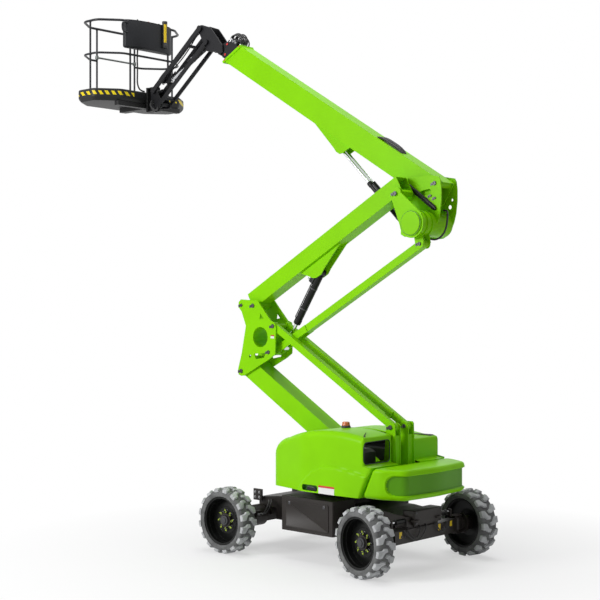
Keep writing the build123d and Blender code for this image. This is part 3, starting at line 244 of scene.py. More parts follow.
marker_green = finish_material("nut_marker", (0.36, 0.48, 0.02), shade=0.9, rough=(0.4, 0.5), edge=0.0)
red = finish_material("cap_red", (0.62, 0.02, 0.02), shade=0.85, rough=(0.35, 0.5), edge=0.0)
label_white = finish_material("label_white", (0.78, 0.78, 0.76), shade=0.96, rough=(0.35, 0.45), edge=0.0)
# darker green for the floor of the counterweight's sunk panel: painted shade in the recess
sunk_panel_shade = finish_material("sunk_panel_painted_shade", (0.100, 0.330, 0.002), shade=0.85, rough=(0.35, 0.5),
    shine=0.2)
# dark green for recesses and cut walls: painted shade
recess_painted_shade = finish_material("recess_painted_shade", (0.03, 0.17, 0.005), shade=0.8, rough=(0.35, 0.5))
# near-black for the inside of the hood shells: painted shade inside the hoods
inner_shade_black = finish_material("opening_painted_shade", (0.012, 0.016, 0.010), shade=0.6, rough=(0.5, 0.7), edge=0.0)
tray_black = finish_material("tray_black_paint", (0.012, 0.012, 0.0125), shade=0.7, rough=(0.4, 0.55),
    bump=0.12, shine=0.3)
beacon_amber = finish_material("beacon_amber", (0.62, 0.12, 0.008), shade=0.8, rough=(0.12, 0.2), edge=0.0)
unit_grey = finish_material("unit_grey_paint", (0.018, 0.020, 0.018), shade=0.7, rough=(0.4, 0.6))


# %% Give each frame node its finish
finish_table = [
    # finish, nodes
    (lime, ["turret_frame", "counterweight", "left_hood", "right_hood", "lower_boom", "lower_tie", "elbow",
            "riser", "upper_tie", "top_knuckle", "upper_boom"]),
    (chassis_paint, ["chassis_frame", "left_side_box", "right_side_box", "fixed_axle", "steer_axle",
                     "left_steering_knuckle", "right_steering_knuckle"]),
    (jib_paint, ["fly_boom", "jib_head", "jib_arm", "jib_link", "basket_carrier", "tie_rod"]),
    (barrel_paint, ["near_lift_barrel", "far_lift_barrel", "riser_cylinder_barrel", "jib_cylinder_barrel"]),
    (rod_chrome, ["near_lift_rod", "far_lift_rod", "riser_cylinder_rod", "jib_cylinder_rod"]),
    (rim_paint, [w + "_rim" for w in ("front_left", "front_right", "rear_left", "rear_right")]),
    (tread_rubber, [w + "_tyre" for w in ("front_left", "front_right", "rear_left", "rear_right")]),
    (tray_black, ["basket_floor"]),
    (rail_paint, ["basket_rails"]),
    (bar_paint, ["entry_bar"]),
    (moulded_black, ["control_console"]),
    (unit_grey, ["power_unit", "battery_box"]),
    (yellow, ["beacon"]),
]
dressed = 0
for finish, names in finish_table:
    for name in names:
        nodes[name].data.materials.clear()
        nodes[name].data.materials.append(finish)
        dressed += 1
print("dressed nodes", dressed, "of", len(nodes))
assert dressed == len(nodes)


# %% [markdown]
# ## Tools for rounded sheet metal and castings
# Pressed covers and castings have soft corners. A stack of plan outlines, each one a little
# larger or smaller than the one below, gives such a body directly: the corner radius, the
# rolled edge and any bulge are then numbers in a table. Every outline is convex, so it can be
# moved inwards edge by edge, and its corners are replaced by arcs.


# %% Outlines with rounded corners
def box_outline(x1, x2, y1, y2):
    return [Vector((x1, y1)), Vector((x2, y1)), Vector((x2, y2)), Vector((x1, y2))]


def inset_outline(points, distance):
    # moves every edge of a convex outline, listed counter-clockwise, inwards
    out = []
    count = len(points)
    for i in range(count):
        a, b, c = (Vector(points[(i + k) % count]) for k in (-1, 0, 1))
        e1, e2 = (b - a).normalized(), (c - b).normalized()
        n1, n2 = Vector((-e1.y, e1.x)), Vector((-e2.y, e2.x))
        turn_factor = 1 + n1.dot(n2)
        out.append(b + (n1 + n2) * (distance / max(turn_factor, 0.2)))
    return out


def rounded_outline(points, radii, arc_steps=10, edge_steps=None):
    # a closed outline with an arc at each corner and evenly divided straight edges
    count = len(points)
    arcs = []
    for i in range(count):
        a, b, c = (Vector(points[(i + k) % count]) for k in (-1, 0, 1))
        d1, d2 = (a - b).normalized(), (c - b).normalized()
        radius = max(radii[i], 0.0005)
        half_angle = d1.angle(d2) / 2
        reach = radius / math.tan(half_angle)
        reach = min(reach, (a - b).length * 0.49, (c - b).length * 0.49)
        radius = reach * math.tan(half_angle)
        centre = b + (d1 + d2).normalized() * (radius / math.sin(half_angle))
        start, end = b + d1 * reach - centre, b + d2 * reach - centre
        sweep = start.angle_signed(end)
        arcs.append([centre + Matrix.Rotation(-sweep * k / arc_steps,
            2) @ start for k in range(arc_steps + 1)])
    out = []
    for i, arc in enumerate(arcs):
        out += arc
        following = arcs[(i + 1) % count][0]
        steps = edge_steps[i] if edge_steps else 1
        out += [arc[-1].lerp(following, k / steps) for k in range(1, steps)]
    return out


def circle_steps(count):
    return [math.tau * k / count for k in range(count)]


# %% From rings or faces to a smooth piece
def add_mesh(name, verts, faces, finish, smooth=35.0):
    mesh = bpy.data.meshes.new(name)
    mesh.from_pydata([tuple(v) for v in verts], [], faces)
    work = bmesh.new()
    work.from_mesh(mesh)
    bmesh.ops.remove_doubles(work, verts=work.verts, dist=0.00005)
    bmesh.ops.recalc_face_normals(work, faces=work.faces)
    work.to_mesh(mesh)
    work.free()
    mesh.shade_smooth()
    mesh.set_sharp_from_angle(angle=math.radians(smooth))
    for item in finish if isinstance(finish, (list, tuple)) else [finish]:
        mesh.materials.append(item)
    return new_object(name, mesh)


def ring_faces(count, rows, closed=True):
    faces = []
    for row in range(rows - 1):
        for i in range(count if closed else count - 1):
            j = (i + 1) % count
            faces.append((row * count + i, row * count + j, (row + 1) * count + j, (row + 1) * count + i))
    return faces


def loft(name, rings, finish, caps=(True, True), smooth=35.0):
    count = len(rings[0])
    verts = [v for ring in rings for v in ring]
    faces = ring_faces(count, len(rings))
    if caps[0]:
        faces.append(tuple(range(count))[::-1])
    if caps[1]:
        faces.append(tuple(range(len(verts) - count, len(verts))))
    return add_mesh(name, verts, faces, finish, smooth)


def lathe(name, profile, finish, steps=48, place=None, smooth=40.0):
    # turns a profile of (radius, height) round the local Z axis
    rings = [[Vector((r * math.cos(a), r * math.sin(a), h)) for a in circle_steps(steps)]
             for r, h in profile]
    closed = tuple(profile[0]) == tuple(profile[-1])
    piece = loft(name, rings, finish, caps=(not closed and profile[0][0] > 0,
        not closed and profile[-1][0] > 0), smooth=smooth)
    if place:
        piece.data.transform(place)
    return piece


def along_axis(centre, axis):
    # a place whose local Z looks along the axis
    return Matrix.Translation(centre) @ Vector(axis).to_track_quat("Z", "Y").to_matrix().to_4x4()


def apply_modifiers(piece):
    bpy.context.view_layer.update()
    mesh = bpy.data.meshes.new_from_object(piece.evaluated_get(bpy.context.evaluated_depsgraph_get()))
    piece.modifiers.clear()
    piece.data = mesh
    return mesh


def cut_with(piece, cutter):
    # takes the cutter's shape out of the piece, then removes the cutter
    tool = piece.modifiers.new("cut", "BOOLEAN")
    tool.object = cutter
    tool.solver = "EXACT"
    tool.material_mode = "TRANSFER"
    mesh = apply_modifiers(piece)
    bpy.data.objects.remove(cutter)
    mesh.shade_smooth()
    mesh.set_sharp_from_angle(angle=math.radians(32))


def pipe(name, points, radius, finish, closed=False, smooth_line=True, resolution=8):
    # a bent tube that follows its control points
    curve = bpy.data.curves.new(name, "CURVE")
    curve.dimensions = "3D"
    curve.bevel_depth = radius
    curve.bevel_resolution = 5
    curve.use_fill_caps = True
    kind = "NURBS" if smooth_line else "POLY"
    line = curve.splines.new(kind)
    line.points.add(len(points) - 1)
    for spot, point in zip(line.points, points):
        spot.co = (*point, 1)
    line.use_cyclic_u = closed
    if smooth_line:
        line.order_u = 3
        line.use_endpoint_u = not closed
        line.resolution_u = resolution
    curve.materials.append(finish)
    return new_object(name, curve)


def join_as(name, pieces):
    # one piece from many small ones, each keeping its finish
    work = bmesh.new()
    used = []
    for piece in pieces:
        mesh = piece.data.copy() if piece.type == "MESH" else bpy.data.meshes.new_from_object(piece)
        mesh.transform(piece.matrix_world)
        shift = []
        for material in mesh.materials:
            if material not in used:
                used.append(material)
            shift.append(used.index(material))
        start = len(work.faces)
        work.from_mesh(mesh)
        work.faces.ensure_lookup_table()
        for face in work.faces[start:]:
            face.material_index = shift[min(face.material_index, len(shift) - 1)]
        bpy.data.objects.remove(piece)
        bpy.data.meshes.remove(mesh)
    mesh = bpy.data.meshes.new(name)
    work.to_mesh(mesh)
    work.free()
    for material in used:
        mesh.materials.append(material)
    mesh.shade_smooth()
    mesh.set_sharp_from_angle(angle=math.radians(35))
    return new_object(name, mesh)


print("tools ready")

# %% [markdown]
# ## Tyres
# The machine stands on solid rubber. Each tyre is one carcass with sixteen lugs on each side, the
# two sides half a pitch apart, so that a lug of one side points between two of the other. The
# carcass is turned from a profile. A lug is a small stack of outlines given in polar measures, so
# its top follows the round of the tyre, and the stack's rings give it sloping, rounded flanks.

# %% Carcass profile and lug outline
carcass_profile = [
    # radius, distance from the middle plane, for one half
    (0.2880, 0.1050), (0.2905, 0.1120), (0.2980, 0.1165), (0.3090, 0.1170), (0.3140, 0.1195),
    (0.3200, 0.1195), (0.3250, 0.1165), (0.3400, 0.1160), (0.3540, 0.1100), (0.3640, 0.0990),
    (0.3700, 0.0850), (0.3705, 0.0300),
]
lug_shape = [
    # across from the middle plane, round the tread at the tread's radius
    (0.1195, -0.036), (0.1195, 0.037), (0.0900, 0.041), (0.0660, 0.046), (0.0500, 0.066), (0.0070, 0.070),
    (-0.0070, 0.034), (0.0310, 0.022), (0.0500, -0.006), (0.0660, -0.033), (0.0920, -0.037),
]
lug_pairs = 16
tread_radius = 0.3925


def lug_ring(hand, turned, grow, depth):
    middle = Vector((sum(p[0] for p in lug_shape) / len(lug_shape),
        sum(p[1] for p in lug_shape) / len(lug_shape)))
    ring = []
    for across, around in lug_shape:
        spot = Vector((across, around)) - middle
        spot = middle + spot * (1 + grow / spot.length)
        across = min(spot.x, 0.1205)
        over = max(0.0, across - 0.098)
        radius = tread_radius - depth - over * (0.55 if depth < 0.02 else 0.9)
        a = turned + spot.y / tread_radius
        ring.append(Vector((radius * math.cos(a), radius * math.sin(a), hand * across)))
    return ring


# %% One tyre mesh shared by the four wheels
rings = [[Vector((r * math.cos(a), r * math.sin(a), z)) for a in circle_steps(96)]
         for r, z in carcass_profile + [(r, -z) for r, z in carcass_profile[::-1]]]
verts = [v for ring in rings for v in ring]
faces = ring_faces(96, len(rings))
faces += [(i, (i + 1) % 96, (len(rings) - 1) * 96 + (i + 1) % 96,
    (len(rings) - 1) * 96 + i) for i in range(96)]
# the carcass takes the darker rubber, painted shade between the lugs; the lugs take the light rubber
carcass = add_mesh("tyre_carcass", verts, faces, [groove_shade_rubber, tread_rubber], smooth=30)
lug_verts, lug_faces = [], []
for hand in (-1, 1):
    for i in range(lug_pairs):
        turned = (i + (0.5 if hand > 0 else 0.0)) * math.tau / lug_pairs
        start = len(lug_verts)
        stack = [lug_ring(hand, turned, grow, depth) for grow, depth in
                 ((0.006, 0.026), (0.0015, 0.012), (0.0, 0.0035), (-0.0015, 0.0012), (-0.004, 0.0003))]
        size = len(lug_shape)
        lug_verts += [v for ring in stack for v in ring]
        lug_faces += [tuple(start + k for k in face) for face in ring_faces(size, len(stack))]
        lug_faces.append(tuple(start + (len(stack) - 1) * size + k for k in range(size)))
lugs = add_mesh("tyre_lugs", lug_verts, lug_faces, tread_rubber, smooth=28)
tyre_mesh = join_as("tyre_form", [carcass, lugs]).data
bpy.data.objects.remove(bpy.data.objects["tyre_form"])
wheels = ["front_left", "front_right", "rear_left", "rear_right"]
wheel_place = {}
for wheel in wheels:
    joint = joint_at[wheel + "_wheel_spin"]
    axis = Vector(joint["axis"]).normalized()
    if axis.y * (1 if "left" in wheel else -1) < 0:
        axis = -axis
    low, high, middle = corners(wheel + "_tyre")
    wheel_place[wheel] = along_axis(middle, axis)
    tyre = new_object(wheel + "_tyre_rubber", tyre_mesh)
    tyre.matrix_world = wheel_place[wheel]
    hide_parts(wheel + "_tyre")
    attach(tyre, wheel + "_wheel")
print("tyre faces", len(tyre_mesh.polygons))

# %% [markdown]
# ## Rims
# The rims are deep dishes. The frame's dish stays, and gets the parts that a fitter would see: a
# rolled lip, a raised ring where the dish was welded to its barrel, the hub with its grease cap,
# and eight nuts, each with a bright marker that shows at once when a nut has turned.

# %% Lip, hub and nuts of one wheel
dish_parts = []
for radius, height, thick in ((0.2835, 0.1085, 0.0045), (0.2835, -0.1085, 0.0045), (0.262, 0.052, 0.005),
        (0.160, 0.009, 0.004)):
    ring = [(radius + thick * math.cos(a), height + thick * math.sin(a)) for a in circle_steps(10)]
    ring.append(ring[0])
    part = lathe("dish_ring", ring, rim_paint, steps=96)
    dish_parts.append(part)
dish_parts.append(lathe("hub_body", [(0.084, 0.004), (0.084, 0.018), (0.079, 0.023), (0.062, 0.025),
    (0.060, 0.058), (0.055, 0.064), (0.040, 0.066), (0.038, 0.074), (0.012, 0.078), (0.0, 0.078)],
    dark_steel, steps=48))
for a in circle_steps(8):
    spot = Vector((0.105 * math.cos(a), 0.105 * math.sin(a), 0.0))
    nut = lathe("nut", [(0.021, 0.005), (0.021, 0.010), (0.0165, 0.012), (0.0165, 0.028), (0.014, 0.031),
        (0.009, 0.031), (0.009, 0.036), (0.0, 0.037)], dark_steel, steps=12, place=Matrix.Translation(spot))
    dish_parts.append(nut)
    pointer = loft("pointer", [[spot + Matrix.Rotation(a + 0.5, 3,
        "Z") @ Vector(p) + Vector((0, 0, h)) for p in ((-0.015, -0.011, 0), (0.013, -0.010, 0),
        (0.032, 0.0, 0), (0.013, 0.010, 0), (-0.015, 0.011, 0))] for h in (0.030, 0.0345)], marker_green)
    dish_parts.append(pointer)
valve = lathe("valve", [(0.006, 0.0), (0.006, 0.03), (0.004, 0.034), (0.0, 0.034)], dark_steel, steps=12,
              place=Matrix.Translation((0.205, 0.03, 0.02)))
dish_mesh = join_as("wheel_dress", dish_parts + [valve]).data
bpy.data.objects.remove(bpy.data.objects["wheel_dress"])
for wheel in wheels:
    dress = new_object(wheel + "_hub_and_nuts", dish_mesh)
    dress.matrix_world = wheel_place[wheel]
    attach(dress, wheel + "_wheel")
print("wheel dressing faces", len(dish_mesh.polygons))

# %% [markdown]
# ## The engine and battery covers
# Each hood is a thin moulded shell, open at the bottom and towards the boom lane, and it swings
# out on its front hinge. The shell follows two curves: the plan outline, and the crown line seen
# from the side. So it is built as one strip of rows: up the wall, over a rounded shoulder and
# across the crown to the lane. A band under an arched line stands proud of the wall, as the
# pressed stiffening line does, and a modifier gives the sheet its thickness.

# %% Crown line and plan of a hood
deck_low, seam_top, seam_lean = 0.822, 1.172, 0.45
lane, hood_front, hood_rear = 0.208, 0.655, -0.850


def arc_height(x, a, b, c):
    # height at x of the upper arc through three points
    (x1, z1), (x2, z2), (x3, z3) = a, b, c
    d = 2 * (x1 * (z2 - z3) + x2 * (z3 - z1) + x3 * (z1 - z2))
    s1, s2, s3 = x1 * x1 + z1 * z1, x2 * x2 + z2 * z2, x3 * x3 + z3 * z3
    cx = (s1 * (z2 - z3) + s2 * (z3 - z1) + s3 * (z1 - z2)) / d
    cz = (s1 * (x3 - x2) + s2 * (x1 - x3) + s3 * (x2 - x1)) / d
    r = math.hypot(x1 - cx, z1 - cz)
    return cz + math.sqrt(max(r * r - (x - cx) ** 2, 0.0))


def crown(x):
    if x > 0.38:
        return arc_height(min(x, 0.652), (0.690, 1.075), (0.590, 1.305), (0.380, 1.410))
    return arc_height(x, (0.380, 1.410), (-0.230, 1.540), (-0.850, 1.492))


def wall_y(x):
    # half width of the bodywork behind the front corner
    if x > 0.06:
        return 0.718 - 0.128 * (x - 0.06) / 0.595
    if x > -0.5:
        return 0.722 - 0.004 * (x + 0.5) / 0.56
    return 0.722 - 0.032 * (-0.5 - x) / 0.58


arch_line = [(-1.0, 1.050), (-0.769, 1.092), (-0.474, 1.134), (-0.273, 1.128), (-0.093, 1.057),
    (0.036, 0.949), (0.100, 0.870), (0.160, 0.780), (0.70, 0.60)]


def soft_step(t):
    t = min(max(t, 0.0), 1.0)
    return t * t * (3 - 2 * t)


def band_height(x, z):
    # how far the band under the arched line stands out
    for (x1, z1), (x2, z2) in zip(arch_line, arch_line[1:]):
        if x1 <= x <= x2:
            line = z1 + (z2 - z1) * (x - x1) / (x2 - x1)
            return 0.022 * soft_step((line - z) / 0.030 + 0.5)
    return 0.0


print("crown over the rear wall", round(crown(hood_rear), 3))

# %% The shell of one hood, left hand first
plan = [(hood_front, lane - 0.4), (hood_front, 0.590), (0.060, 0.718), (-0.500, 0.722),
    (hood_rear, wall_y(hood_rear)), (hood_rear, lane - 0.4)]
plan_line = rounded_outline(plan, [0.001, 0.13, 0.7, 3.0, 0.035, 0.001], arc_steps=14,
                            edge_steps=[24, 30, 40, 30, 60, 2])
plan_line = [p for p in plan_line if p.y > lane]
plan_line = [Vector((hood_front, lane))] + plan_line + [Vector((hood_rear, lane))]
outward = []
for i, p in enumerate(plan_line):
    a, b = plan_line[max(i - 1, 0)], plan_line[min(i + 1, len(plan_line) - 1)]
    d = (b - a).normalized()
    outward.append(Vector((d.y, -d.x)))


def shoulder_at(n):
    # wide shoulder on the outer side and nose, tight edge above the rear wall
    return 0.075 if n.x >= 0 else 0.075 + (0.016 - 0.075) * soft_step(-n.x * 1.3)


def hood_rows(drop=0.0, chamfer=0.0):
    # drop lowers the crown towards the rear, chamfer widens the outer shoulder
    def crown_at(x):
        return crown(x) - drop * soft_step((0.30 - x) / 0.9)

    rows = []
    for t in (k / 34 for k in range(35)):
        row = []
        for p, n in zip(plan_line, outward):
            top = crown_at(p.x) - shoulder_at(n) - chamfer * max(0.0, n.y)
            z = deck_low + t * (top - deck_low)
            x, y = p
            if z < seam_top and x < -0.6:
                # the lower wall runs on to the leaning seam
                rear = -0.800 - seam_lean * (z - 0.820)
                x_new = -0.6 + (x + 0.6) * (rear + 0.6) / (-0.25)
                y = y * wall_y(x_new) / wall_y(x) if y > 0.65 else y
                x = x_new
            out = band_height(x, z) * max(0.0, n.y) ** 2
            row.append(Vector((x + n.x * out, y + n.y * out, z)))
        rows.append(row)
    for k in range(1, 8):
        a = math.pi / 2 * k / 7
        row = []
        for p, n in zip(plan_line, outward):
            r = shoulder_at(n) + chamfer * max(0.0, n.y)
            q = p - n * (r * (1 - math.cos(a)))
            row.append(Vector((q.x, max(q.y, lane), crown_at(q.x) - r * (1 - math.sin(a)))))
        rows.append(row)
    rim_row = rows[-1]
    for k in range(1, 13):
        s = k / 12
        row = []
        for i, p in enumerate(rim_row):
            u = i / (len(rim_row) - 1)
            q = Vector((rim_row[0].x + u * (rim_row[-1].x - rim_row[0].x), lane))
            spot = Vector((p.x, p.y)).lerp(q, s)
            row.append(Vector((spot.x, spot.y, crown_at(spot.x))))
        rows.append(row)
    return rows


def make_hood(name, hand, drop=0.0, chamfer=0.0):
    rows = hood_rows(drop, chamfer)
    count = len(rows[0])
    verts = [Vector((v.x, hand * v.y, v.z)) for row in rows for v in row]
    shell = add_mesh(name, verts, ring_faces(count, len(rows), closed=False), [lime, inner_shade_black], smooth=38)
    if shell.data.polygons[20].normal.x < 0:
        shell.data.flip_normals()
    sheet = shell.modifiers.new("sheet", "SOLIDIFY")
    sheet.thickness = 0.010
    sheet.offset = -1.0
    # the inner skin takes the second finish, the near-black painted shade inside the hood
    sheet.material_offset = 1
    apply_modifiers(shell)
    return shell


# %% Window and handle recess of the left hood
left_cover = make_hood("left_hood_cover", 1)
window = rounded_outline([(0.236, 1.198), (0.694, 1.198), (0.694, 1.440), (0.236, 1.446)], [0.045] * 4,
    arc_steps=8)
# the cutter's dark green passes to the window's cut walls as painted shade
hole = loft("window_cutter", [[Vector((x, p.x, p.y)) for p in window] for x in (-0.80, -0.90)], recess_painted_shade)
cut_with(left_cover, hole)
pocket = rounded_outline(box_outline(-0.196, 0.040, 0.838, 0.906), [0.022] * 4, arc_steps=6)
# the cutter's dark green passes to the pocket's cut walls as painted shade
hole = loft("pocket_cutter", [[Vector((p.x, y, p.y)) for p in pocket] for y in (0.60, 0.80)], recess_painted_shade)
cut_with(left_cover, hole)
right_cover = make_hood("right_hood_cover", -1, 0.080, 0.060)
for cover, node in ((left_cover, "left_hood"), (right_cover, "right_hood")):
    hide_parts(node)
    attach(cover, node)
print("hood faces", len(left_cover.data.polygons), len(right_cover.data.polygons))


# %% [markdown]
# The pocket in the wall holds a black slam latch in front of a backing tray in dark green, painted shade in
# the pocket. Beside it sits a
# plain label plate: it follows the wall, so it is a small grid laid on the same formula.

# %% Latch, label and window frame
def on_wall(x, z, lift):
    return Vector((x, wall_y(x) + band_height(x, z) + lift, z))


def wall_patch(name, x1, x2, z1, z2, lift, finish):
    steps = 10
    verts, faces = [], []
    for layer in (lift, lift - 0.003):
        for i in range(steps + 1):
            for k in range(5):
                verts.append(on_wall(x1 + (x2 - x1) * i / steps, z1 + (z2 - z1) * k / 4, layer))
    half_count = (steps + 1) * 5
    for layer in range(2):
        for i in range(steps):
            for k in range(4):
                a = layer * half_count + i * 5 + k
                faces.append((a, a + 5, a + 6, a + 1))
    edge = ([i * 5 for i in range(steps + 1)] + [steps * 5 + k for k in range(1, 5)]
            + [i * 5 + 4 for i in range(steps - 1, -1, -1)] + [k for k in range(3, 0, -1)])
    for a, b in zip(edge, edge[1:] + edge[:1]):
        faces.append((a, b, b + half_count, a + half_count))
    return add_mesh(name, verts, faces, finish)


hood_label = join_as("left_hood_label", [
    wall_patch("plate", -0.455, -0.215, 0.822, 0.892, 0.0022, label_white),
    wall_patch("band", -0.455, -0.215, 0.894, 0.914, 0.0022, red)])
# the pocket's backing tray is dark green: painted shade in the pocket
tray_back = loft("pocket_tray", [[Vector((p.x, y, p.y)) for p in inset_outline(pocket, d)]
                                 for y, d in ((0.728, -0.004), (0.700, 0.002), (0.690, 0.010))], recess_painted_shade,
                 caps=(False, True))
latch_outline = rounded_outline(box_outline(-0.17, -0.02, 0.842, 0.874), [0.012] * 4, 5)
latch = loft("slam_latch", [[Vector((p.x, y, p.y)) for p in inset_outline(latch_outline, d)]
                            for y, d in ((0.695, 0.0), (0.724, 0.0), (0.729, 0.004))], moulded_black)
latch_pull = pipe("latch_pull", [(-0.150, 0.726, 0.868), (-0.150, 0.738, 0.880), (-0.090, 0.742, 0.884),
                                 (-0.035, 0.738, 0.880), (-0.035, 0.726, 0.868)], 0.006, dark_steel)
window_lip = pipe("window_lip", [(-0.8515, p.x, p.y) for p in window], 0.0045, moulded_black, closed=True,
                  smooth_line=False)
for piece, slot in ((hood_label, "body_green"), (tray_back, "body_green"), (latch, "frame_black"),
                    (latch_pull, "frame_black"), (window_lip, "frame_black")):
    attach(piece, "left_hood")

# %% [markdown]
# ## Counterweight
# The tail is one heavy casting with soft corners all round. A stack of plan outlines gives it its
# rolled bottom edge and its shoulder. The wide shallow panel that wraps round the tail is made
# where it belongs, in the surface: every point knows how far it is from the panel's rounded
# outline, and the points inside are pushed in a little.

# %% Cast tail with its sunk panel
tail_low, tail_high = 0.820, 1.162
panel_half, panel_tall, panel_round, panel_z = 0.79, 0.115, 0.105, 0.987  # half length, half height
panel_sunk, panel_floor, rim_height = 0.026, 0.012, 0.004


def tail_outline(z, inset):
    seam_x = -0.812 - seam_lean * (z - 0.820)
    seam_y = wall_y(seam_x)
    corners_at = [(seam_x, seam_y), (-1.080, 0.690), (-1.345, 0.560), (-1.395, 0.0), (-1.345, -0.560),
                  (-1.080, -0.690), (seam_x, -seam_y)]
    radii = [0.05, 0.26, 0.13, 1.6, 0.13, 0.26, 0.05]
    moved = inset_outline(corners_at, inset)
    return rounded_outline(moved, [max(r - inset, 0.008) for r in radii], arc_steps=14,
                           edge_steps=[10, 16, 46, 46, 16, 10, 10])


def panel_depth(s, z):
    # rounded panel: distance from its outline, then a soft edge
    px, pz = abs(s) - (panel_half - panel_round), abs(z - panel_z) - (panel_tall - panel_round)
    outside = math.hypot(max(px, 0), max(pz, 0)) + min(max(px, pz), 0) - panel_round
    rim = rim_height * math.exp(-((outside - 0.006) / 0.009) ** 2)
    return panel_sunk * soft_step(-outside / 0.016) - rim


tail_rows, sunk = [], set()
tail_roll, tail_shoulder = 0.060, 0.040
quarter = [math.pi / 2 * k / 7 for k in range(8)]
bottom = [(tail_low + tail_roll * (1 - math.cos(a)), tail_roll * (1 - math.sin(a))) for a in quarter]
straight = [(tail_low + tail_roll + (tail_high - tail_shoulder - tail_low - tail_roll) * k / 34, 0.0)
            for k in range(1, 34)]
over = [(tail_high - tail_shoulder + tail_shoulder * math.sin(a),
    tail_shoulder * (1 - math.cos(a))) for a in quarter]
for z, inset in bottom + straight + over:
    outline = tail_outline(z, inset)
    count = len(outline)
    tail_index = min(range(count), key=lambda i: abs(outline[i].y) + (10 if outline[i].x > -1.2 else 0))
    reach = [0.0] * count
    for step in (1, -1):
        travelled = 0.0
        for k in range(1, count // 2 + 1):
            i, j = (tail_index + step * (k - 1)) % count, (tail_index + step * k) % count
            travelled += (outline[j] - outline[i]).length
            reach[j] = travelled
    ring = []
    for i, p in enumerate(outline):
        a, b = outline[i - 1], outline[(i + 1) % count]
        d = (b - a).normalized()
        n = Vector((d.y, -d.x))
        push = panel_depth(reach[i], z) if p.x < -0.99 else 0.0
        q = p - n * push
        if push > panel_floor:
            sunk.add(len(tail_rows) * count + i)
        ring.append(Vector((q.x, q.y, z)))
    tail_rows.append(ring)
tail = loft("cast_counterweight", tail_rows, [lime, sunk_panel_shade], smooth=50)
for face in tail.data.polygons:
    # the floor of the sunk panel gets a darker green: painted shade in the recess
    if all(v in sunk for v in face.vertices):
        face.material_index = 1
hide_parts("counterweight")
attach(tail, "turret")
print("counterweight faces", len(tail.data.polygons), "lowest",
    round(min(v.co.z for v in tail.data.vertices), 4))

# %% [markdown]
# ## Beacon
# A flashing beacon warns people near the machine. It is an amber cap with fine upright ribs, which
# scatter its light, on a black rubber foot. Ribs are cut by giving every second point of the turned
# outline a slightly smaller radius.

# %% Beacon on the left hood
low, high, middle = corners("beacon")
foot = lathe("beacon_foot", [(0.056, 0.0), (0.056, 0.012), (0.052, 0.018), (0.050, 0.026), (0.0, 0.026)],
    hose_rubber, place=Matrix.Translation((middle.x, middle.y, low.z)))
ribs = 72
cap_rings = []
for r, h in ((0.048, 0.024), (0.048, 0.030), (0.046, 0.034), (0.044, 0.058), (0.040, 0.065), (0.030, 0.0690),
             (0.010, 0.0700)):
    depth = 0.0012 if 0.03 < h < 0.062 else 0.0
    cap_rings.append([Vector((middle.x + (r - depth * (k % 2)) * math.cos(math.tau * k / ribs),
                              middle.y + (r - depth * (k % 2)) * math.sin(math.tau * k / ribs), low.z + h))
                      for k in range(ribs)])
cap = loft("beacon_cap", cap_rings, beacon_amber, smooth=60)
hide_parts("beacon")
for piece, slot in ((foot, "frame_black"), (cap, "beacon_amber")):
    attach(piece, "left_hood")
print("beacon top", round(high.z, 3))

# %% [markdown]
# ## Pins, rings and cylinders
# Every boom turns on a hardened pin. What shows from outside is its end: a stepped head beside the
# plate, with a small keeper bolt. All pins come from one table of places, read from the joints.

# %% Small fittings
def fitting(name, pieces, body):
    whole = join_as(name, pieces) if len(pieces) > 1 else pieces[0]
    whole.name = name
    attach(whole, body)


def pin_end(x, y, z, hand, radius, finish):
    profile = [(radius, 0.0), (radius, 0.009), (radius * 0.9, 0.013), (radius * 0.5, 0.013),
        (radius * 0.44, 0.009), (0.0, 0.009)]
    disc = lathe("pin_head", profile, finish, steps=32, place=along_axis((x, y, z), (0, hand, 0)))
    keeper = lathe("keeper", [(0.009, 0.0), (0.009, 0.008), (0.007, 0.010), (0.0, 0.010)], dark_steel,
        steps=6, place=along_axis((x + radius + 0.016, y, z - 0.012), (0, hand, 0)))
    tab = loft("tab", [[Vector((x + u, y + hand * h, z + v)) for u,
        v in ((radius * 0.4, -0.014), (radius + 0.030, -0.028), (radius + 0.032, 0.004),
        (radius * 0.4, 0.014))] for h in (0.0, 0.004)], dark_steel)
    return [disc, keeper, tab]


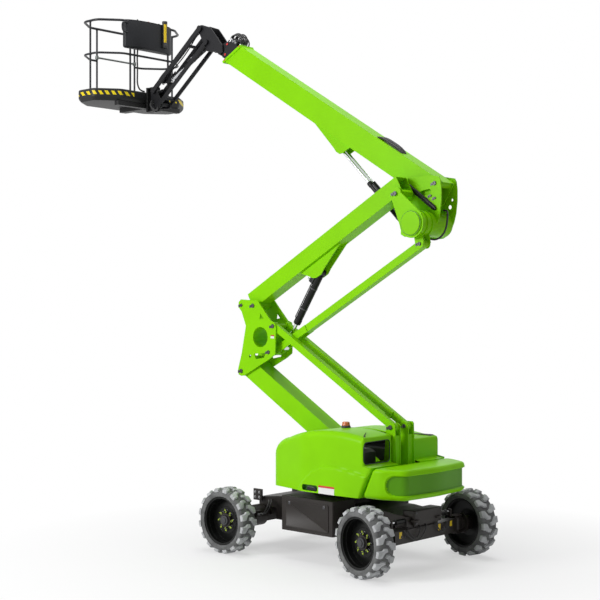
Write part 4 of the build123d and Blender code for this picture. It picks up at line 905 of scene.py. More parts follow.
foot, boss_b, tie_e = pivot("elbow_level"), pivot("riser_turn"), pivot("upper_tie_turn")
link_top = Vector((1.0678, 0, 2.7051))
top_g, boom_h, lift_k = pivot("knuckle_level"), pivot("boom"), pivot("near_lift_swing")
jib_t, jib_end = pivot("jib"), pivot("basket_level")
plate_y = 0.159
pin_table = [
    # body, pivot, y of the face, side, radius
    ("elbow", foot, plate_y, 1, 0.027),
    ("elbow", boss_b, plate_y, 1, 0.027),
    ("elbow", tie_e, plate_y, 1, 0.024),
    ("elbow", boss_b + Vector((0.205, 0, 0.006)), plate_y, 1, 0.021),
    ("elbow", foot, -plate_y, -1, 0.027),
    ("elbow", boss_b, -plate_y, -1, 0.027),
    ("elbow", tie_e, -plate_y, -1, 0.024),
    ("lower_tie", link_top, plate_y, 1, 0.026),
    ("lower_tie", link_top, -plate_y, -1, 0.026),
    ("turret", pivot("lower_tie_turn"), 0.185, 1, 0.027),
    ("turret", pivot("lower_tie_turn"), -0.075, 1, 0.026),
    ("turret", pivot("lower_tie_turn"), -0.185, -1, 0.027),
    ("top_knuckle", top_g, 0.171, 1, 0.027),
    ("top_knuckle", top_g + Vector((-0.338, 0, 0.118)), -0.130, 1, 0.025),
    ("top_knuckle", boom_h, -0.450, -1, 0.027),
    ("top_knuckle", top_g, -0.450, -1, 0.025),
    ("top_knuckle", lift_k, -0.450, -1, 0.021),
    ("top_knuckle", top_g + Vector((-0.285, 0, -0.021)), -0.130, 1, 0.013),
    ("top_knuckle", top_g + Vector((-0.347, 0, -0.050)), -0.130, 1, 0.013),
    ("top_knuckle", Vector((-1.1473, 0, 3.6667)), 0.069, 1, 0.023),
]
bodies_with_pins = sorted({row[0] for row in pin_table})
for body in bodies_with_pins:
    group = []
    for _, at, y, hand, radius in (row for row in pin_table if row[0] == body):
        group += pin_end(at.x, y, at.z, hand, radius, dark_steel)
    fitting(body + "_pins", group, body)

# %% [markdown]
# A cylinder barrel ends in a gland: a wider ring that holds the rod's seal. A steel pipe runs along
# each barrel from a block at its head to a port near the gland, held by two clips.

# %% Cylinder glands, ports and pipes
cylinder_table = [
    # body, head pivot, joint of the stroke, radius where it isn't read from the barrel's end
    ("riser_cylinder_barrel", "riser_cylinder_swing", "riser_cylinder_stroke", 0.044),
    ("near_lift_barrel", "near_lift_swing", "near_lift_stroke", 0.032),
    ("jib_cylinder_barrel", "jib_cylinder_swing", "jib_cylinder_stroke", None),
]
for body, head, stroke, radius in cylinder_table:
    start = pivot(head)
    along_it = Vector(joint_at[stroke]["axis"]).normalized()
    verts = [v.co for v in nodes[body].data.vertices]
    reach = max((v - start).dot(along_it) for v in verts)
    if radius is None:
        radius = max(((v - start) - along_it * (v - start).dot(along_it)).length for v in verts
                     if (v - start).dot(along_it) > reach - 0.004)
    end = start + along_it * reach
    gland = lathe("gland", [(radius * 0.62, -0.062), (radius + 0.002, -0.062), (radius + 0.0035, -0.056),
        (radius + 0.0035, -0.010), (radius + 0.001, -0.004), (radius * 0.8, 0.0), (radius * 0.62, 0.0),
        (radius * 0.62, -0.062)], barrel_paint, steps=40, place=along_axis(end, along_it))
    across = along_it.cross(Vector((0, 1, 0))).normalized()
    if across.z < 0:
        across = -across
    side_way = Vector((0, 1, 0))
    run = (across * 0.75 + side_way * 0.66).normalized()
    off, sunk_in = run * (radius + 0.009), run * (radius * 0.6)
    route = [start + along_it * s + out for s, out in (
        (0.085, sunk_in), (0.085, off), (0.125, off), (reach * 0.5, off), (reach - 0.105, off),
        (reach - 0.066, off), (reach - 0.066, sunk_in))]
    feed = pipe("feed", route, 0.0065, dark_steel)
    parts = [gland, feed]
    for share in (0.3, 0.7):
        parts.append(lathe("clip", [(radius - 0.002, -0.008), (radius + 0.0025, -0.008),
            (radius + 0.0025, 0.008), (radius - 0.002, 0.008), (radius - 0.002, -0.008)], dark_steel,
            steps=36, place=along_axis(start + along_it * (reach * share), along_it)))
        parts.append(lathe("clip_nut", [(0.010, -0.008), (0.010, 0.008), (0.0, 0.009)], steel, steps=6,
                           place=along_axis(start + along_it * (reach * share) + off, along_it)))
    if body == "riser_cylinder_barrel":
        spot = start + along_it * 0.135 + across * (radius + 0.026)
        block_out = rounded_outline(box_outline(-0.045, 0.045, -0.032, 0.032), [0.006] * 4, 4)
        frame_of = Matrix.Translation(spot) @ Matrix((along_it, side_way, across)).transposed().to_4x4()
        block = loft("block", [[frame_of @ Vector((p.x * k, p.y * k, h)) for p in block_out] for k, h in
                               ((0.95, -0.030), (1, -0.027), (1, 0.024), (0.95, 0.028))], moulded_black)
        parts.append(block)
        for u, v in ((-0.024, 0.0), (0.024, 0.012)):
            parts.append(lathe("cartridge", [(0.013, 0.0), (0.013, 0.018), (0.010, 0.021), (0.010, 0.042),
                (0.006, 0.046), (0.0, 0.046)], steel, steps=12,
                place=along_axis(frame_of @ Vector((u, v, 0.026)), across)))
    fitting(body + "_fittings", parts, body)
    print(body, "reach", round(reach, 3), "radius", round(radius, 4))

# %% [markdown]
# ## Knuckle at the top of the riser
# The cross drum ends in a round lid with a dark green ring round it, painted shade in its groove, and two
# thin rings stiffen the drum.
# A flat levelling link lies in front of the cheek plate, and a hose loops out of the open back.

# %% Drum lid, rings, levelling link
drum = Vector((-1.1013, 0.173, 3.8997))
lid = lathe("drum_lid", [(0.141, 0.0), (0.141, 0.003), (0.134, 0.003), (0.134, 0.007), (0.130, 0.012),
    (0.0, 0.0125)], lime, steps=64, place=along_axis(drum, (0, 1, 0)))
# a thin dark green ring standing through the lid: painted shade in the groove round the lid
groove = lathe("drum_groove_shade_ring", [(0.1345, 0.0), (0.1345, 0.0042), (0.1395, 0.0042), (0.1395, 0.0),
    (0.1345, 0.0)], recess_painted_shade, steps=64, place=along_axis(drum, (0, 1, 0)))
rings = [lathe("drum_ring", [(0.143, -0.005), (0.157, -0.005), (0.159, 0.0), (0.157, 0.005), (0.143, 0.005),
    (0.143, -0.005)], lime, steps=64, place=along_axis((drum.x, y, drum.z), (0, 1, 0))) for y in (0.050,
    -0.045)]
fitting("drum_details", [lid, groove] + rings, "top_knuckle")

link_from, link_to = top_g + Vector((0.120, 0, 0.178)), top_g + Vector((-0.362, 0, -0.182))
way = (link_to - link_from).normalized()
up = Vector((-way.z, 0, way.x))
if up.z < 0:
    up = -up
link_rings = []
for share, half in ((0.0, 0.010), (0.02, 0.016), (0.17, 0.017), (0.175, 0.025), (0.30, 0.027),
        (0.305, 0.022), (0.36, 0.023), (0.365, 0.029), (0.93, 0.029), (0.97, 0.024), (1.0, 0.012)):
    at = link_from.lerp(link_to, share)
    link_rings.append([Vector((at.x, -0.1155, at.z)) + up * (half * math.cos(a)) + Vector((0,
        0.0115 * math.sin(a), 0)) for a in circle_steps(28)])
link = loft("levelling_link", link_rings, barrel_paint, smooth=30)
fitting("levelling_link", [link], "top_knuckle")


# %% [markdown]
# ## Hoses
# Hoses leave the steel pipes and loop from one fitting to the next. Each is one smooth curve of its
# real thickness, given by a few points.

# %% Hoses on the booms
def hose(name, points, diameter, body):
    line = pipe(name, points, 0.0, hose_rubber, resolution=12)
    bare = bpy.data.meshes.new_from_object(line)
    bpy.data.meshes.remove(bare)
    line.data.bevel_depth = diameter / 2
    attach(line, body)


hose("knuckle_hose", [(-1.215, -0.300, 4.062), (-1.262, -0.285, 4.060), (-1.300, -0.262, 4.035),
    (-1.312, -0.240, 3.960), (-1.312, -0.225, 3.880), (-1.300, -0.200, 3.800), (-1.255, -0.170, 3.735),
    (-1.190, -0.130, 3.712), (-1.120, -0.090, 3.745)], 0.022, "top_knuckle")
boom_way = Vector((math.cos(math.radians(31.25)), 0, math.sin(math.radians(31.25))))
boom_up = Vector((-boom_way.z, 0, boom_way.x))


def on_boom(s, v, y):
    return boom_h + boom_way * s + boom_up * v + Vector((0, y - boom_h.y, 0))


for k, (y, lift_by) in enumerate(((-0.222, 0.030), (-0.248, 0.038), (-0.274, 0.042), (-0.300, 0.036))):
    hose("boom_top_hose_%d" % k, [on_boom(0.66, 0.046, y), on_boom(0.70, 0.068, y),
        on_boom(0.78, 0.046 + lift_by, y), on_boom(0.88, 0.048 + lift_by, y),
        on_boom(0.98, 0.046 + lift_by, y), on_boom(1.05, 0.068, y), on_boom(1.09, 0.046, y)], 0.024,
        "upper_boom")
nose = [(3.800, 0.020), (3.795, 0.075), (3.825, 0.130), (3.905, 0.160), (3.985, 0.130), (4.012, 0.075),
    (3.998, 0.022)]
nose_lanes = (-0.368, -0.342, -0.316, -0.290, -0.264, -0.238, -0.212)
ends = []
for k, y in enumerate(nose_lanes):
    shift, grow = 0.008 * ((k * 2) % 3), 0.86 + 0.10 * ((k * 2) % 3)
    hose("nose_hose_%d" % k, [on_boom(s + shift, 0.02 + (v - 0.02) * grow, y) for s, v in nose], 0.018,
        "fly_boom")
    for s in (3.800 + shift, 3.996 + shift):
        ends.append(lathe("ferrule", [(0.0125, -0.010), (0.0125, 0.024), (0.0105, 0.030), (0.0105, 0.046),
            (0.0, 0.046)], steel, steps=12, place=along_axis(on_boom(s, 0.022, y), boom_up)))
manifold = rounded_outline(box_outline(3.850, 3.965, 0.016, 0.082), [0.010] * 4, 4)
ends.append(loft("manifold", [[on_boom(p.x, p.y, y) for p in inset_outline(manifold, d)] for d,
    y in ((0.004, -0.385), (0.0, -0.381), (0.0, -0.199), (0.004, -0.195))], moulded_black))
for k, (s, v) in enumerate(((3.868, 0.050), (3.892, 0.064), (3.920, 0.046), (3.948, 0.060))):
    ends.append(lathe("plug", [(0.012, 0.0), (0.012, 0.010), (0.008, 0.012), (0.008, 0.024), (0.0, 0.024)],
        steel, steps=6, place=along_axis(on_boom(s, v, -0.195), (0, 1, 0))))
fitting("nose_fittings", ends, "fly_boom")

# %% Bolts with red caps round the boom's mouth
caps = []
for s, v, y in ((3.925, -0.222, -0.172), (3.762, 0.040, -0.172), (3.925, -0.222, -0.408),
        (3.762, 0.040, -0.408)):
    caps.append(lathe("cap_base", [(0.015, 0.0), (0.015, 0.006), (0.0, 0.006)], dark_steel, steps=6,
                      place=along_axis(on_boom(s, v, y), (0, 1 if y > -0.29 else -1, 0))))
    caps.append(lathe("cap_red", [(0.011, 0.006), (0.011, 0.012), (0.007, 0.016), (0.0, 0.016)], red,
        steps=16, place=along_axis(on_boom(s, v, y), (0, 1 if y > -0.29 else -1, 0))))
fitting("mouth_caps", caps, "upper_boom")
side_caps = []
for s, v in ((4.02, -0.030), (3.985, -0.165)):
    side_caps.append(lathe("pad_cap", [(0.016, 0.0), (0.016, 0.006), (0.011, 0.010), (0.0, 0.010)], red,
        steps=20, place=along_axis(on_boom(s, v, -0.201), (0, 1, 0))))
fitting("fly_pad_caps", side_caps, "fly_boom")

# %% Blank labels on the booms
labels = []
for x, z, w, h, colour in ((1.071, 2.569, 0.030, 0.016, label_white), (1.071, 2.588, 0.030, 0.007, red)):
    labels.append(loft("tag", [[Vector((x + u, y, z + v)) for u, v in ((-w, -h), (w, -h), (w, h), (-w, h))]
                               for y in (plate_y, plate_y + 0.0015)], colour))
fitting("elbow_label", labels, "elbow")
print("boom details done")

# %% [markdown]
# ## Basket
# The work platform is a tray of bent sheet with soft corners, and a cage of round tube above it.
# The plan of both is an oblong with cut corners; bending rounds those corners. The tray's skin is
# lofted from that plan, so its underside can taper and its rim can roll over.

# %% Plan of the basket and its tray
tray_z = 5.79984
centre_x, centre_y = 4.29402, -0.290


def cage_plan(half_depth, half_long, cut_depth, cut_long):
    return [Vector((centre_x + sx * dx, centre_y + sy * dy)) for sx, sy, dx, dy in (
        (1, -1, half_depth, half_long - cut_long), (1, 1, half_depth, half_long - cut_long),
        (1, 1, half_depth - cut_depth, half_long), (-1, 1, half_depth - cut_depth, half_long),
        (-1, 1, half_depth, half_long - cut_long), (-1, -1, half_depth, half_long - cut_long),
        (-1, -1, half_depth - cut_depth, half_long), (1, -1, half_depth - cut_depth, half_long))]


tray_plan = cage_plan(0.400, 0.845, 0.230, 0.300)
tray_stack = [(0.046, 0.0), (0.034, 0.001), (0.012, 0.028), (0.003, 0.045), (0.0, 0.052), (0.0, 0.148),
    (0.0015, 0.158), (0.006, 0.165), (0.012, 0.164), (0.014, 0.158), (0.014, 0.030)]
rings = [[Vector((p.x, p.y, tray_z + h)) for p in
          rounded_outline(inset_outline(tray_plan, d), [0.11 - d] * 8, arc_steps=7, edge_steps=[3] * 8)]
         for d, h in tray_stack]
tray = loft("tray_skin", rings, tray_black, smooth=30)
pieces = [tray]


def bar_box(x1, x2, y1, y2, z1, z2, finish, r=0.006):
    outline = box_outline(x1, x2, y1, y2)
    return loft("bar_box", [[Vector((p.x, p.y, z)) for p in rounded_outline(inset_outline(outline, d),
        [r] * 4, 4)] for d, z in ((r * 0.6, z1), (0, z1 + r * 0.6), (0, z2 - r * 0.6), (r * 0.6, z2))],
        finish)


edge_x, hub_x, hub_low, hub_high = 3.89402, 3.79002, 5.7058, 6.0148
pieces += [bar_box(edge_x + 0.020, edge_x + 0.100, centre_y - 0.575, centre_y + 0.575, tray_z - 0.060,
    tray_z + 0.004, tray_black), bar_box(centre_x - 0.340, centre_x + 0.220, centre_y - 0.060,
    centre_y + 0.060, tray_z - 0.060, tray_z + 0.004, tray_black),
    bar_box(edge_x - 0.014, edge_x + 0.014, centre_y - 0.075, centre_y + 0.075, hub_low - 0.017,
    hub_high + 0.017, tray_black, 0.004)]
for z1, z2 in ((hub_low - 0.017, hub_low - 0.0004), (hub_high + 0.0004, hub_high + 0.017)):
    ear = [(hub_x + 0.066 * math.cos(a), centre_y + 0.066 * math.sin(a)) for a in
           (math.pi / 2 + math.pi * k / 24 for k in range(25))]
    ear = [(edge_x + 0.016, centre_y + 0.055)] + ear + [(edge_x + 0.016, centre_y - 0.055)]
    flat = [Vector((x, y, z1)) for x, y in ear], [Vector((x, y, z2)) for x, y in ear]
    pieces.append(loft("swivel_ear", list(flat), tray_black))
    pieces.append(lathe("swivel_cap", [(0.030, 0.0), (0.030, 0.006), (0.025, 0.010), (0.0, 0.010)],
        dark_steel, steps=28, place=Matrix.Translation((hub_x, centre_y, z2 if z2 > 6 else z1 - 0.0095))))
rib_count = 9
for k in range(rib_count):
    y = centre_y - 0.56 + 1.12 * k / (rib_count - 1)
    pieces.append(bar_box(centre_x - 0.33, centre_x + 0.33, y - 0.006, y + 0.006, tray_z + 0.0301,
        tray_z + 0.0345, dark_steel, 0.0015))
whole_tray = join_as("basket_tray", pieces)
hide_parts("basket_floor")
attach(whole_tray, "basket")
print("tray faces", len(whole_tray.data.polygons))

# %% [markdown]
# Slanted yellow and black stripes mark the tray's outer corners. They are one thin band whose
# material works out the stripe from the place: across the band the stripe leans with the height,
# and near the middle of the long side the band stays black.

# %% Hazard band
hazard, tree, shader = new_material("hazard_stripes")
where = tree.nodes.new("ShaderNodeTexCoord")
split = tree.nodes.new("ShaderNodeSeparateXYZ")
wire(where, "Object", split, "Vector")


def sum_node(kind, a, b):
    node = tree.nodes.new("ShaderNodeMath")
    node.operation = kind
    for slot_number, value in enumerate((a, b)):
        if isinstance(value, (int, float)):
            node.inputs[slot_number].default_value = value
        elif value is not None:
            tree.links.new(value, node.inputs[slot_number])
    return node.outputs[0]


along_rim = sum_node("ADD", split.outputs["X"], split.outputs["Y"])
leaning = sum_node("ADD", along_rim, sum_node("MULTIPLY", split.outputs["Z"], -0.9))
stripe = sum_node("GREATER_THAN", sum_node("FRACT", sum_node("DIVIDE", leaning, 0.125), None), 0.5)
outer = sum_node("GREATER_THAN", sum_node("ABSOLUTE", sum_node("ADD", split.outputs["Y"], 0.290), None), 0.30)
worn = add_node(tree, "ShaderNodeTexNoise", Scale=38.0, Detail=4.0, Roughness=0.7)
wire(where, "Object", worn, "Vector")
kept = sum_node("LESS_THAN", worn.outputs["Fac"], 0.66)
chosen = sum_node("MULTIPLY", sum_node("MULTIPLY", stripe, outer), kept)
mix = tree.nodes.new("ShaderNodeMix")
mix.data_type = "RGBA"
mix.inputs["A"].default_value = (0.010, 0.010, 0.011, 1)
mix.inputs["B"].default_value = (0.80, 0.62, 0.01, 1)
tree.links.new(chosen, mix.inputs["Factor"])
wire(mix, "Result", shader, "Base Color")
shader.inputs["Roughness"].default_value = 0.45
shader.inputs["Specular IOR Level"].default_value = 0.3
band_rings = [[Vector((p.x, p.y, tray_z + h)) for p in
               rounded_outline(inset_outline(tray_plan, d), [0.11] * 8, arc_steps=7, edge_steps=[3] * 8)]
              for d, h in ((0.001, 0.078), (-0.0012, 0.079), (-0.0012, 0.131), (0.001, 0.132))]
band = loft("tray_band", band_rings, hazard, caps=(False, False), smooth=30)
fitting("tray_band", [band], "basket")

# %% [markdown]
# The two hoops of the cage are bent from one tube each. The lower one is open at the entrance,
# where the lifting bar closes it. Posts stand on small welded feet.

# %% Hoops and posts
rail_top, rail_mid = 6.92984, 6.46984
cage_x, cage_y, door_y, post_radius, foot_z = 0.370, 0.760, 0.350, 0.014, tray_z + 0.0303
hoop = rounded_outline(cage_plan(cage_x, cage_y, 0.230, 0.280), [0.16] * 8, arc_steps=9)
tubes = [pipe("top_hoop", [(p.x, p.y, rail_top) for p in hoop], 0.017, rail_paint, closed=True,
    smooth_line=False)]
gap_start = [i for i, p in enumerate(hoop) if abs(p.x - (centre_x + cage_x)) < 0.001 and p.y > centre_y]
first = min(gap_start, key=lambda i: hoop[i].y)
ordered = hoop[first:] + hoop[:first]
ordered = [Vector((centre_x + cage_x, centre_y + door_y))] + [p for p in ordered if not (
    abs(p.x - (centre_x + cage_x)) < 0.001 and abs(p.y - centre_y) < door_y + 0.0005)] + [
    Vector((centre_x + cage_x, centre_y - door_y))]
tubes.append(pipe("mid_hoop", [(p.x, p.y, rail_mid) for p in ordered], 0.015, rail_paint, smooth_line=False))
post_spots = [(cage_x, -door_y), (cage_x, door_y), (-cage_x, -door_y), (-cage_x, door_y), (0.0, -cage_y),
    (0.0, cage_y)]
for dx, dy in post_spots:
    x, y = centre_x + dx, centre_y + dy
    tubes.append(lathe("post", [(post_radius, foot_z), (post_radius, rail_top), (0.0, rail_top)],
        rail_paint, steps=24, place=Matrix.Translation((x, y, 0))))
    tubes.append(lathe("post_foot", [(0.028, foot_z), (0.028, tray_z + 0.036), (0.022, tray_z + 0.040),
        (post_radius, tray_z + 0.046)], rail_paint, steps=24, place=Matrix.Translation((x, y, 0))))
    for z in (rail_top, rail_mid):
        if z == rail_mid and dx > 0.3:
            continue
        tubes.append(lathe("weld", [(0.0142, -0.024), (0.0175, -0.017), (0.0165, -0.012), (0.0142, -0.010)],
            rail_paint, steps=20, place=Matrix.Translation((x, y, z))))
cage = join_as("basket_cage", tubes)
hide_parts("basket_rails")
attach(cage, "basket")
print("cage faces", len(cage.data.polygons))

# %% [markdown]
# The control box is a rounded moulding that bulges away from the operator. Its lid carries two
# joysticks with rubber boots, a stop button and a row of small toggles. A grab loop sits at one
# end, and a tube for papers stands on its face.

# %% Control box
box_low = 6.5598
face_points = []
for k in range(13):
    t = -1 + 2 * k / 12
    face_points.append(Vector((3.966 - 0.130 * math.sqrt(1 - (0.97 * t) ** 2), centre_y + 0.43 * -t)))
box_plan = [Vector((3.999, centre_y - 0.43))] + [Vector((3.999, centre_y + 0.43))] + face_points
stack = [(0.030, 0.0), (0.014, 0.003), (0.004, 0.014), (0.0, 0.030), (0.0, 0.355), (0.003, 0.372),
    (-0.003, 0.374), (-0.003, 0.386), (0.004, 0.394), (0.020, 0.398), (0.10, 0.398)]
box_rings = []
stick_x, lid_z = 3.945, box_low + 0.398
middle = Vector((stick_x, centre_y))
for d, h in stack:
    outline = []
    for p in rounded_outline(box_plan, [0.02, 0.02, 0.03] + [0.3] * 11 + [0.03], arc_steps=6):
        outline.append(Vector((p.x - math.copysign(min(d, abs(p.x - middle.x)),
            p.x - middle.x) * (1 if abs(d) < 0.05 else 0.3),
            p.y - math.copysign(min(d, abs(p.y - middle.y)), p.y - middle.y), box_low + h)))
    box_rings.append(outline)
shell = loft("console_shell", box_rings, moulded_black, smooth=40)
items = [shell]
for y, r in ((-0.09, 0.026), (-0.49, 0.026)):
    boot = [(r, 0.0)]
    for k in range(4):
        boot += [(r * (0.92 - 0.14 * k), 0.004 + 0.005 * k), (r * (0.84 - 0.14 * k), 0.0065 + 0.005 * k)]
    items.append(lathe("joystick", boot + [(0.006, 0.0225), (0.006, 0.0240), (0.010, 0.0255), (0.010, 0.0285),
                                           (0.0, 0.0295)], hose_rubber, steps=24,
                       place=Matrix.Translation((stick_x, y, lid_z))))
items.append(lathe("stop_button", [(0.020, 0.0), (0.020, 0.006), (0.010, 0.008), (0.010, 0.014),
    (0.019, 0.016), (0.019, 0.022), (0.014, 0.026), (0.0, 0.027)], red, steps=28,
    place=Matrix.Translation((stick_x, -0.290, lid_z))))
for k in range(6):
    items.append(lathe("toggle", [(0.007, 0.0), (0.007, 0.004), (0.003, 0.005), (0.0022, 0.018),
        (0.0, 0.019)], steel, steps=14, place=Matrix.Translation((stick_x, -0.245 + 0.022 * k, lid_z))))
items.append(pipe("grab_loop", [(3.905, 0.120, 6.905), (3.900, 0.185, 6.912), (3.898, 0.222, 6.880),
    (3.898, 0.226, 6.835), (3.898, 0.218, 6.785), (3.900, 0.180, 6.765), (3.905, 0.120, 6.772)], 0.011,
    rail_paint))
tube_at = (3.832, -0.500)
items.append(lathe("paper_tube", [(0.034, 6.6205), (0.0375, 6.625), (0.0375, 6.690), (0.0355, 6.693),
    (0.0355, 6.965), (0.0378, 6.968), (0.0378, 7.000), (0.034, 7.0045), (0.0, 7.0045)], hose_rubber,
    steps=36, place=Matrix.Translation((*tube_at, 0))))
sleeve = []
for z in (6.700, 6.958):
    sleeve.append([Vector((tube_at[0] + 0.0362 * math.cos(a), tube_at[1] + 0.0362 * math.sin(a), z)) for a in
                   (math.radians(118 + 8 * k) for k in range(9))])
items.append(add_mesh("tube_label", sleeve[0] + sleeve[1], ring_faces(9, 2, closed=False), yellow))
for y in (-0.64, 0.06):
    for z in (6.930, 6.610):
        items.append(lathe("console_screw", [(0.009, 0.0), (0.009, 0.004), (0.005, 0.006), (0.0, 0.006)],
            dark_steel, steps=16, place=along_axis((3.908 if y < -0.5 else 3.9025, y, z),
            (-0.93, 0.36 if y > -0.3 else -0.36, 0))))
console = join_as("control_box", items)
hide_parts("control_console")
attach(console, "basket")
print("console faces", len(console.data.polygons))

# %% Cables and hoses of the basket
hose("console_cable", [(3.905, -0.060, 6.566), (3.914, -0.064, 6.520), (3.940, -0.080, 6.430),
    (3.956, -0.100, 6.320), (3.958, -0.100, 6.200), (3.950, -0.090, 6.090), (3.940, -0.110, 6.015),
    (3.925, -0.150, 5.982), (3.906, -0.190, 5.976)], 0.022, "basket")
for k in range(3):
    hose("carrier_hose_%d" % k, [(3.740 - 0.010 * k, -0.207, 5.835 - 0.022 * k),
        (3.742, -0.180, 5.832 - 0.022 * k), (3.738, -0.155 + 0.006 * k, 5.800 - 0.010 * k),
        (3.715, -0.145 + 0.006 * k, 5.740), (3.680 - 0.02 * k, -0.142 + 0.006 * k, 5.690),
        (3.640 - 0.02 * k, -0.148, 5.672), (3.608 - 0.01 * k, -0.160, 5.700), (3.625, -0.185, 5.735),
        (3.660 - 0.01 * k, -0.207, 5.748)], 0.015, "basket_carrier")
jib_way = (jib_end - jib_t).normalized()
jib_up = Vector((-jib_way.z, 0, jib_way.x))
for k, y in enumerate((-0.340, -0.315, -0.265, -0.240)):
    points = []
    for s, v in ((0.10, 0.044), (0.125, 0.074), (0.22, 0.085), (0.40, 0.066), (0.60, 0.060), (0.80, 0.068),
            (0.97, 0.088), (1.075, 0.076), (1.10, 0.044)):
        at = jib_t + jib_way * s + jib_up * (v + 0.006 * (k % 2))
        points.append((at.x, y + 0.008 * math.sin(9 * s + k), at.z))
    hose("jib_hose_%d" % k, points, 0.015, "jib_arm")
print("basket done")

# %% [markdown]
# ## Chassis details
# The steered axle carries a closed cover over its valves, a short steering cylinder and small
# yellow marks, which are plain here. The fixed axle ends in bolted drive flanges with their pipes.

# %% Steered axle: cover, cylinder, marks
def soft_box(name, x1, x2, y1, y2, z1, z2, finish, r=0.012):
    outline = box_outline(x1, x2, y1, y2)
    stack = [(r, z1)] + [(r * (1 - math.sin(a)), z1 + r * (1 - math.cos(a))) for a in
                         (math.pi / 8 * k for k in range(1, 5))]
    stack += [(r * (1 - math.cos(a)), z2 - r + r * math.sin(a)) for a in (math.pi / 8 * k for k in range(5))]
    return loft(name, [[Vector((p.x, p.y, z)) for p in rounded_outline(inset_outline(outline, d),
        [max(r - d, 0.001)] * 4, 5)] for d, z in stack], finish, smooth=40)


def bolt(x, y, z, axis, finish=dark_steel, r=0.011):
    return lathe("bolt", [(r * 1.5, 0.0), (r * 1.5, 0.002), (r, 0.002), (r, r * 0.75), (r * 0.85, r * 0.9),
        (0.0, r * 0.9)], finish, steps=6, place=along_axis((x, y, z), axis))


steer_x, steer_z, mark_x = -1.115, 0.560, -1.1725
axle_parts = [soft_box("valve_cover", -1.200, -1.030, -0.290, 0.225, 0.500, 0.664, chassis_paint, 0.016)]
axle_parts.append(soft_box("cover_foot", -1.165, -1.030, -0.250, 0.190, 0.480, 0.506, chassis_paint, 0.004))
for y in (-0.262, 0.197):
    for z in (0.525, 0.640):
        axle_parts.append(bolt(-1.200, y, z, (-1, 0, 0)))
for hand in (-1, 1):
    axle_parts.append(lathe("steer_barrel", [(0.0, 0.0), (0.026, 0.0), (0.030, 0.004), (0.030, 0.060),
        (0.026, 0.064), (0.026, 0.200), (0.031, 0.204), (0.031, 0.232), (0.024, 0.236), (0.0, 0.236)],
        barrel_paint, steps=32, place=along_axis((steer_x, hand * 0.245, steer_z), (0, hand, 0))))
    axle_parts.append(lathe("steer_rod", [(0.0135, 0.0), (0.0135, 0.075), (0.0, 0.076)], rod_chrome, steps=24,
                            place=along_axis((steer_x, hand * 0.480, steer_z), (0, hand, 0))))
    axle_parts.append(soft_box("rod_post", -1.140, -1.090, hand * 0.555 - 0.014, hand * 0.555 + 0.014,
        0.497, 0.590, chassis_paint, 0.005))
    for y in (0.36, 0.43):
        axle_parts.append(bolt(-1.171, hand * y, 0.400, (-1, 0, 0)))
fitting("steered_axle_details", axle_parts, "chassis")
marks = []
for x, y, z, w, h in ((mark_x, -0.276, 0.420, 0.022, 0.036), (mark_x, 0.445, 0.420, 0.024, 0.036),
                      (mark_x, -0.500, 0.432, 0.020, 0.030)):
    outline = rounded_outline(box_outline(y - w, y + w, z - h, z + h), [0.004] * 4, 3)
    marks.append(loft("mark", [[Vector((x + d, p.x, p.y)) for p in outline] for d in (0.001, -0.0005)],
        yellow))
fitting("axle_marks", marks, "chassis")
for k, (y1, y2, drop) in enumerate(((0.10, 0.33, 0.07), (-0.02, 0.40, 0.10), (-0.18, -0.40, 0.06))):
    hose("axle_hose_%d" % k, [(-1.150, y1, 0.498), (-1.190, y1, 0.480),
        (-1.206, y1 + (y2 - y1) * 0.2, 0.440 - drop * 0.6), (-1.210, (y1 + y2) / 2, 0.420 - drop),
        (-1.206, y1 + (y2 - y1) * 0.8, 0.440 - drop * 0.6), (-1.190, y2, 0.450), (-1.172, y2, 0.470)],
        0.014, "chassis")

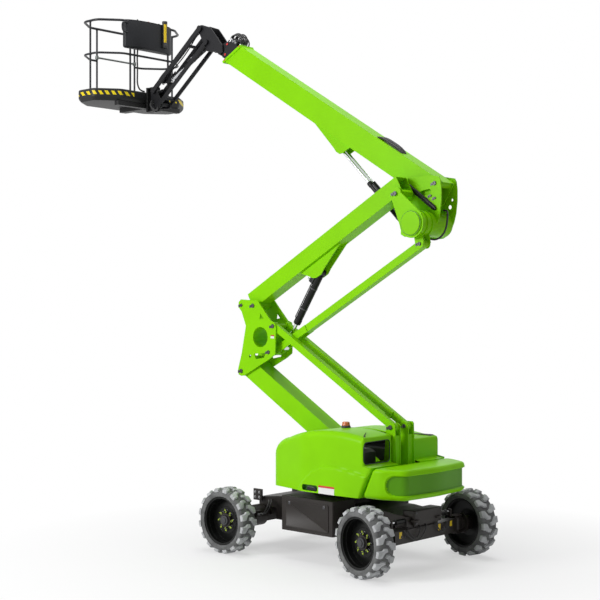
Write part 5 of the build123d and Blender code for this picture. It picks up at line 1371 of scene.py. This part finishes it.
# %% Fixed axle: drive flanges, brackets, hoses
axle_x, axle_z = 1.086, 0.3925
port_y, lug_y = 0.560, 0.350
front_parts = []
for hand in (-1, 1):
    for y in (0.700, 0.752):
        front_parts.append(lathe("flange", [(0.060, 0.0), (0.124, 0.0), (0.127, 0.003), (0.127, 0.021),
            (0.124, 0.024), (0.060, 0.024), (0.060, 0.0)], chassis_paint, steps=64,
            place=along_axis((axle_x, hand * y, axle_z), (0, hand, 0))))
    for a in circle_steps(12):
        front_parts.append(bolt(axle_x + 0.111 * math.cos(a), hand * 0.700, axle_z + 0.111 * math.sin(a),
            (0, -hand, 0), steel, 0.008))
    front_parts.append(soft_box("port_block", 0.905, 0.962, hand * port_y - 0.045, hand * port_y + 0.045,
        0.395, 0.480, chassis_paint, 0.008))
    for dy in (-0.022, 0.022):
        front_parts.append(lathe("port", [(0.013, 0.0), (0.013, 0.014), (0.010, 0.016), (0.010, 0.036),
            (0.0, 0.036)], steel, steps=12, place=along_axis((0.905, hand * port_y + dy, 0.440),
            (-1, 0, 0))))
    front_parts.append(soft_box("frame_lug", 1.060, 1.205, hand * lug_y - 0.012, hand * lug_y + 0.012,
        0.560, 0.700, chassis_paint, 0.005))
    for z in (0.600, 0.660):
        front_parts.append(bolt(1.17, hand * lug_y + hand * 0.012, z, (0, hand, 0), steel, 0.012))
        front_parts.append(bolt(1.10, hand * lug_y + hand * 0.012, z, (0, hand, 0), steel, 0.012))
fitting("fixed_axle_details", front_parts, "chassis")
for hand, side in ((1, "left"), (-1, "right")):
    for k, dy in enumerate((-0.022, 0.022)):
        hose("drive_hose_%s_%d" % (side, k), [(0.872, hand * port_y + dy, 0.440),
            (0.835, hand * port_y + dy, 0.442), (0.800, hand * 0.545 + dy, 0.480),
            (0.800, hand * 0.500 + dy, 0.545), (0.840, hand * 0.440 + dy, 0.580),
            (0.900, hand * 0.380 + dy, 0.585), (0.950, hand * 0.330 + dy, 0.580)], 0.014, "chassis")

# %% Side boxes: raised door panel and latches
for hand, side in ((1, "left"), (-1, "right")):
    box_parts = []
    door = rounded_outline(box_outline(-0.335, 0.335, 0.372, 0.690), [0.018] * 4, 5)
    box_parts.append(loft("door", [[Vector((p.x, hand * y, p.y)) for p in inset_outline(door, d)] for d,
        y in ((0.0, 0.708), (0.0, 0.7115), (0.002, 0.7130), (0.016, 0.7130), (0.019, 0.7115))],
        chassis_paint))
    for x in (-0.27, 0.27):
        box_parts.append(lathe("latch", [(0.020, 0.0), (0.020, 0.003), (0.017, 0.005), (0.008, 0.005),
            (0.007, 0.002), (0.0, 0.002)], dark_steel, steps=24,
            place=along_axis((x, hand * 0.7115, 0.660), (0, hand, 0))))
    fitting(side + "_box_details", box_parts, "chassis")
print("chassis done")
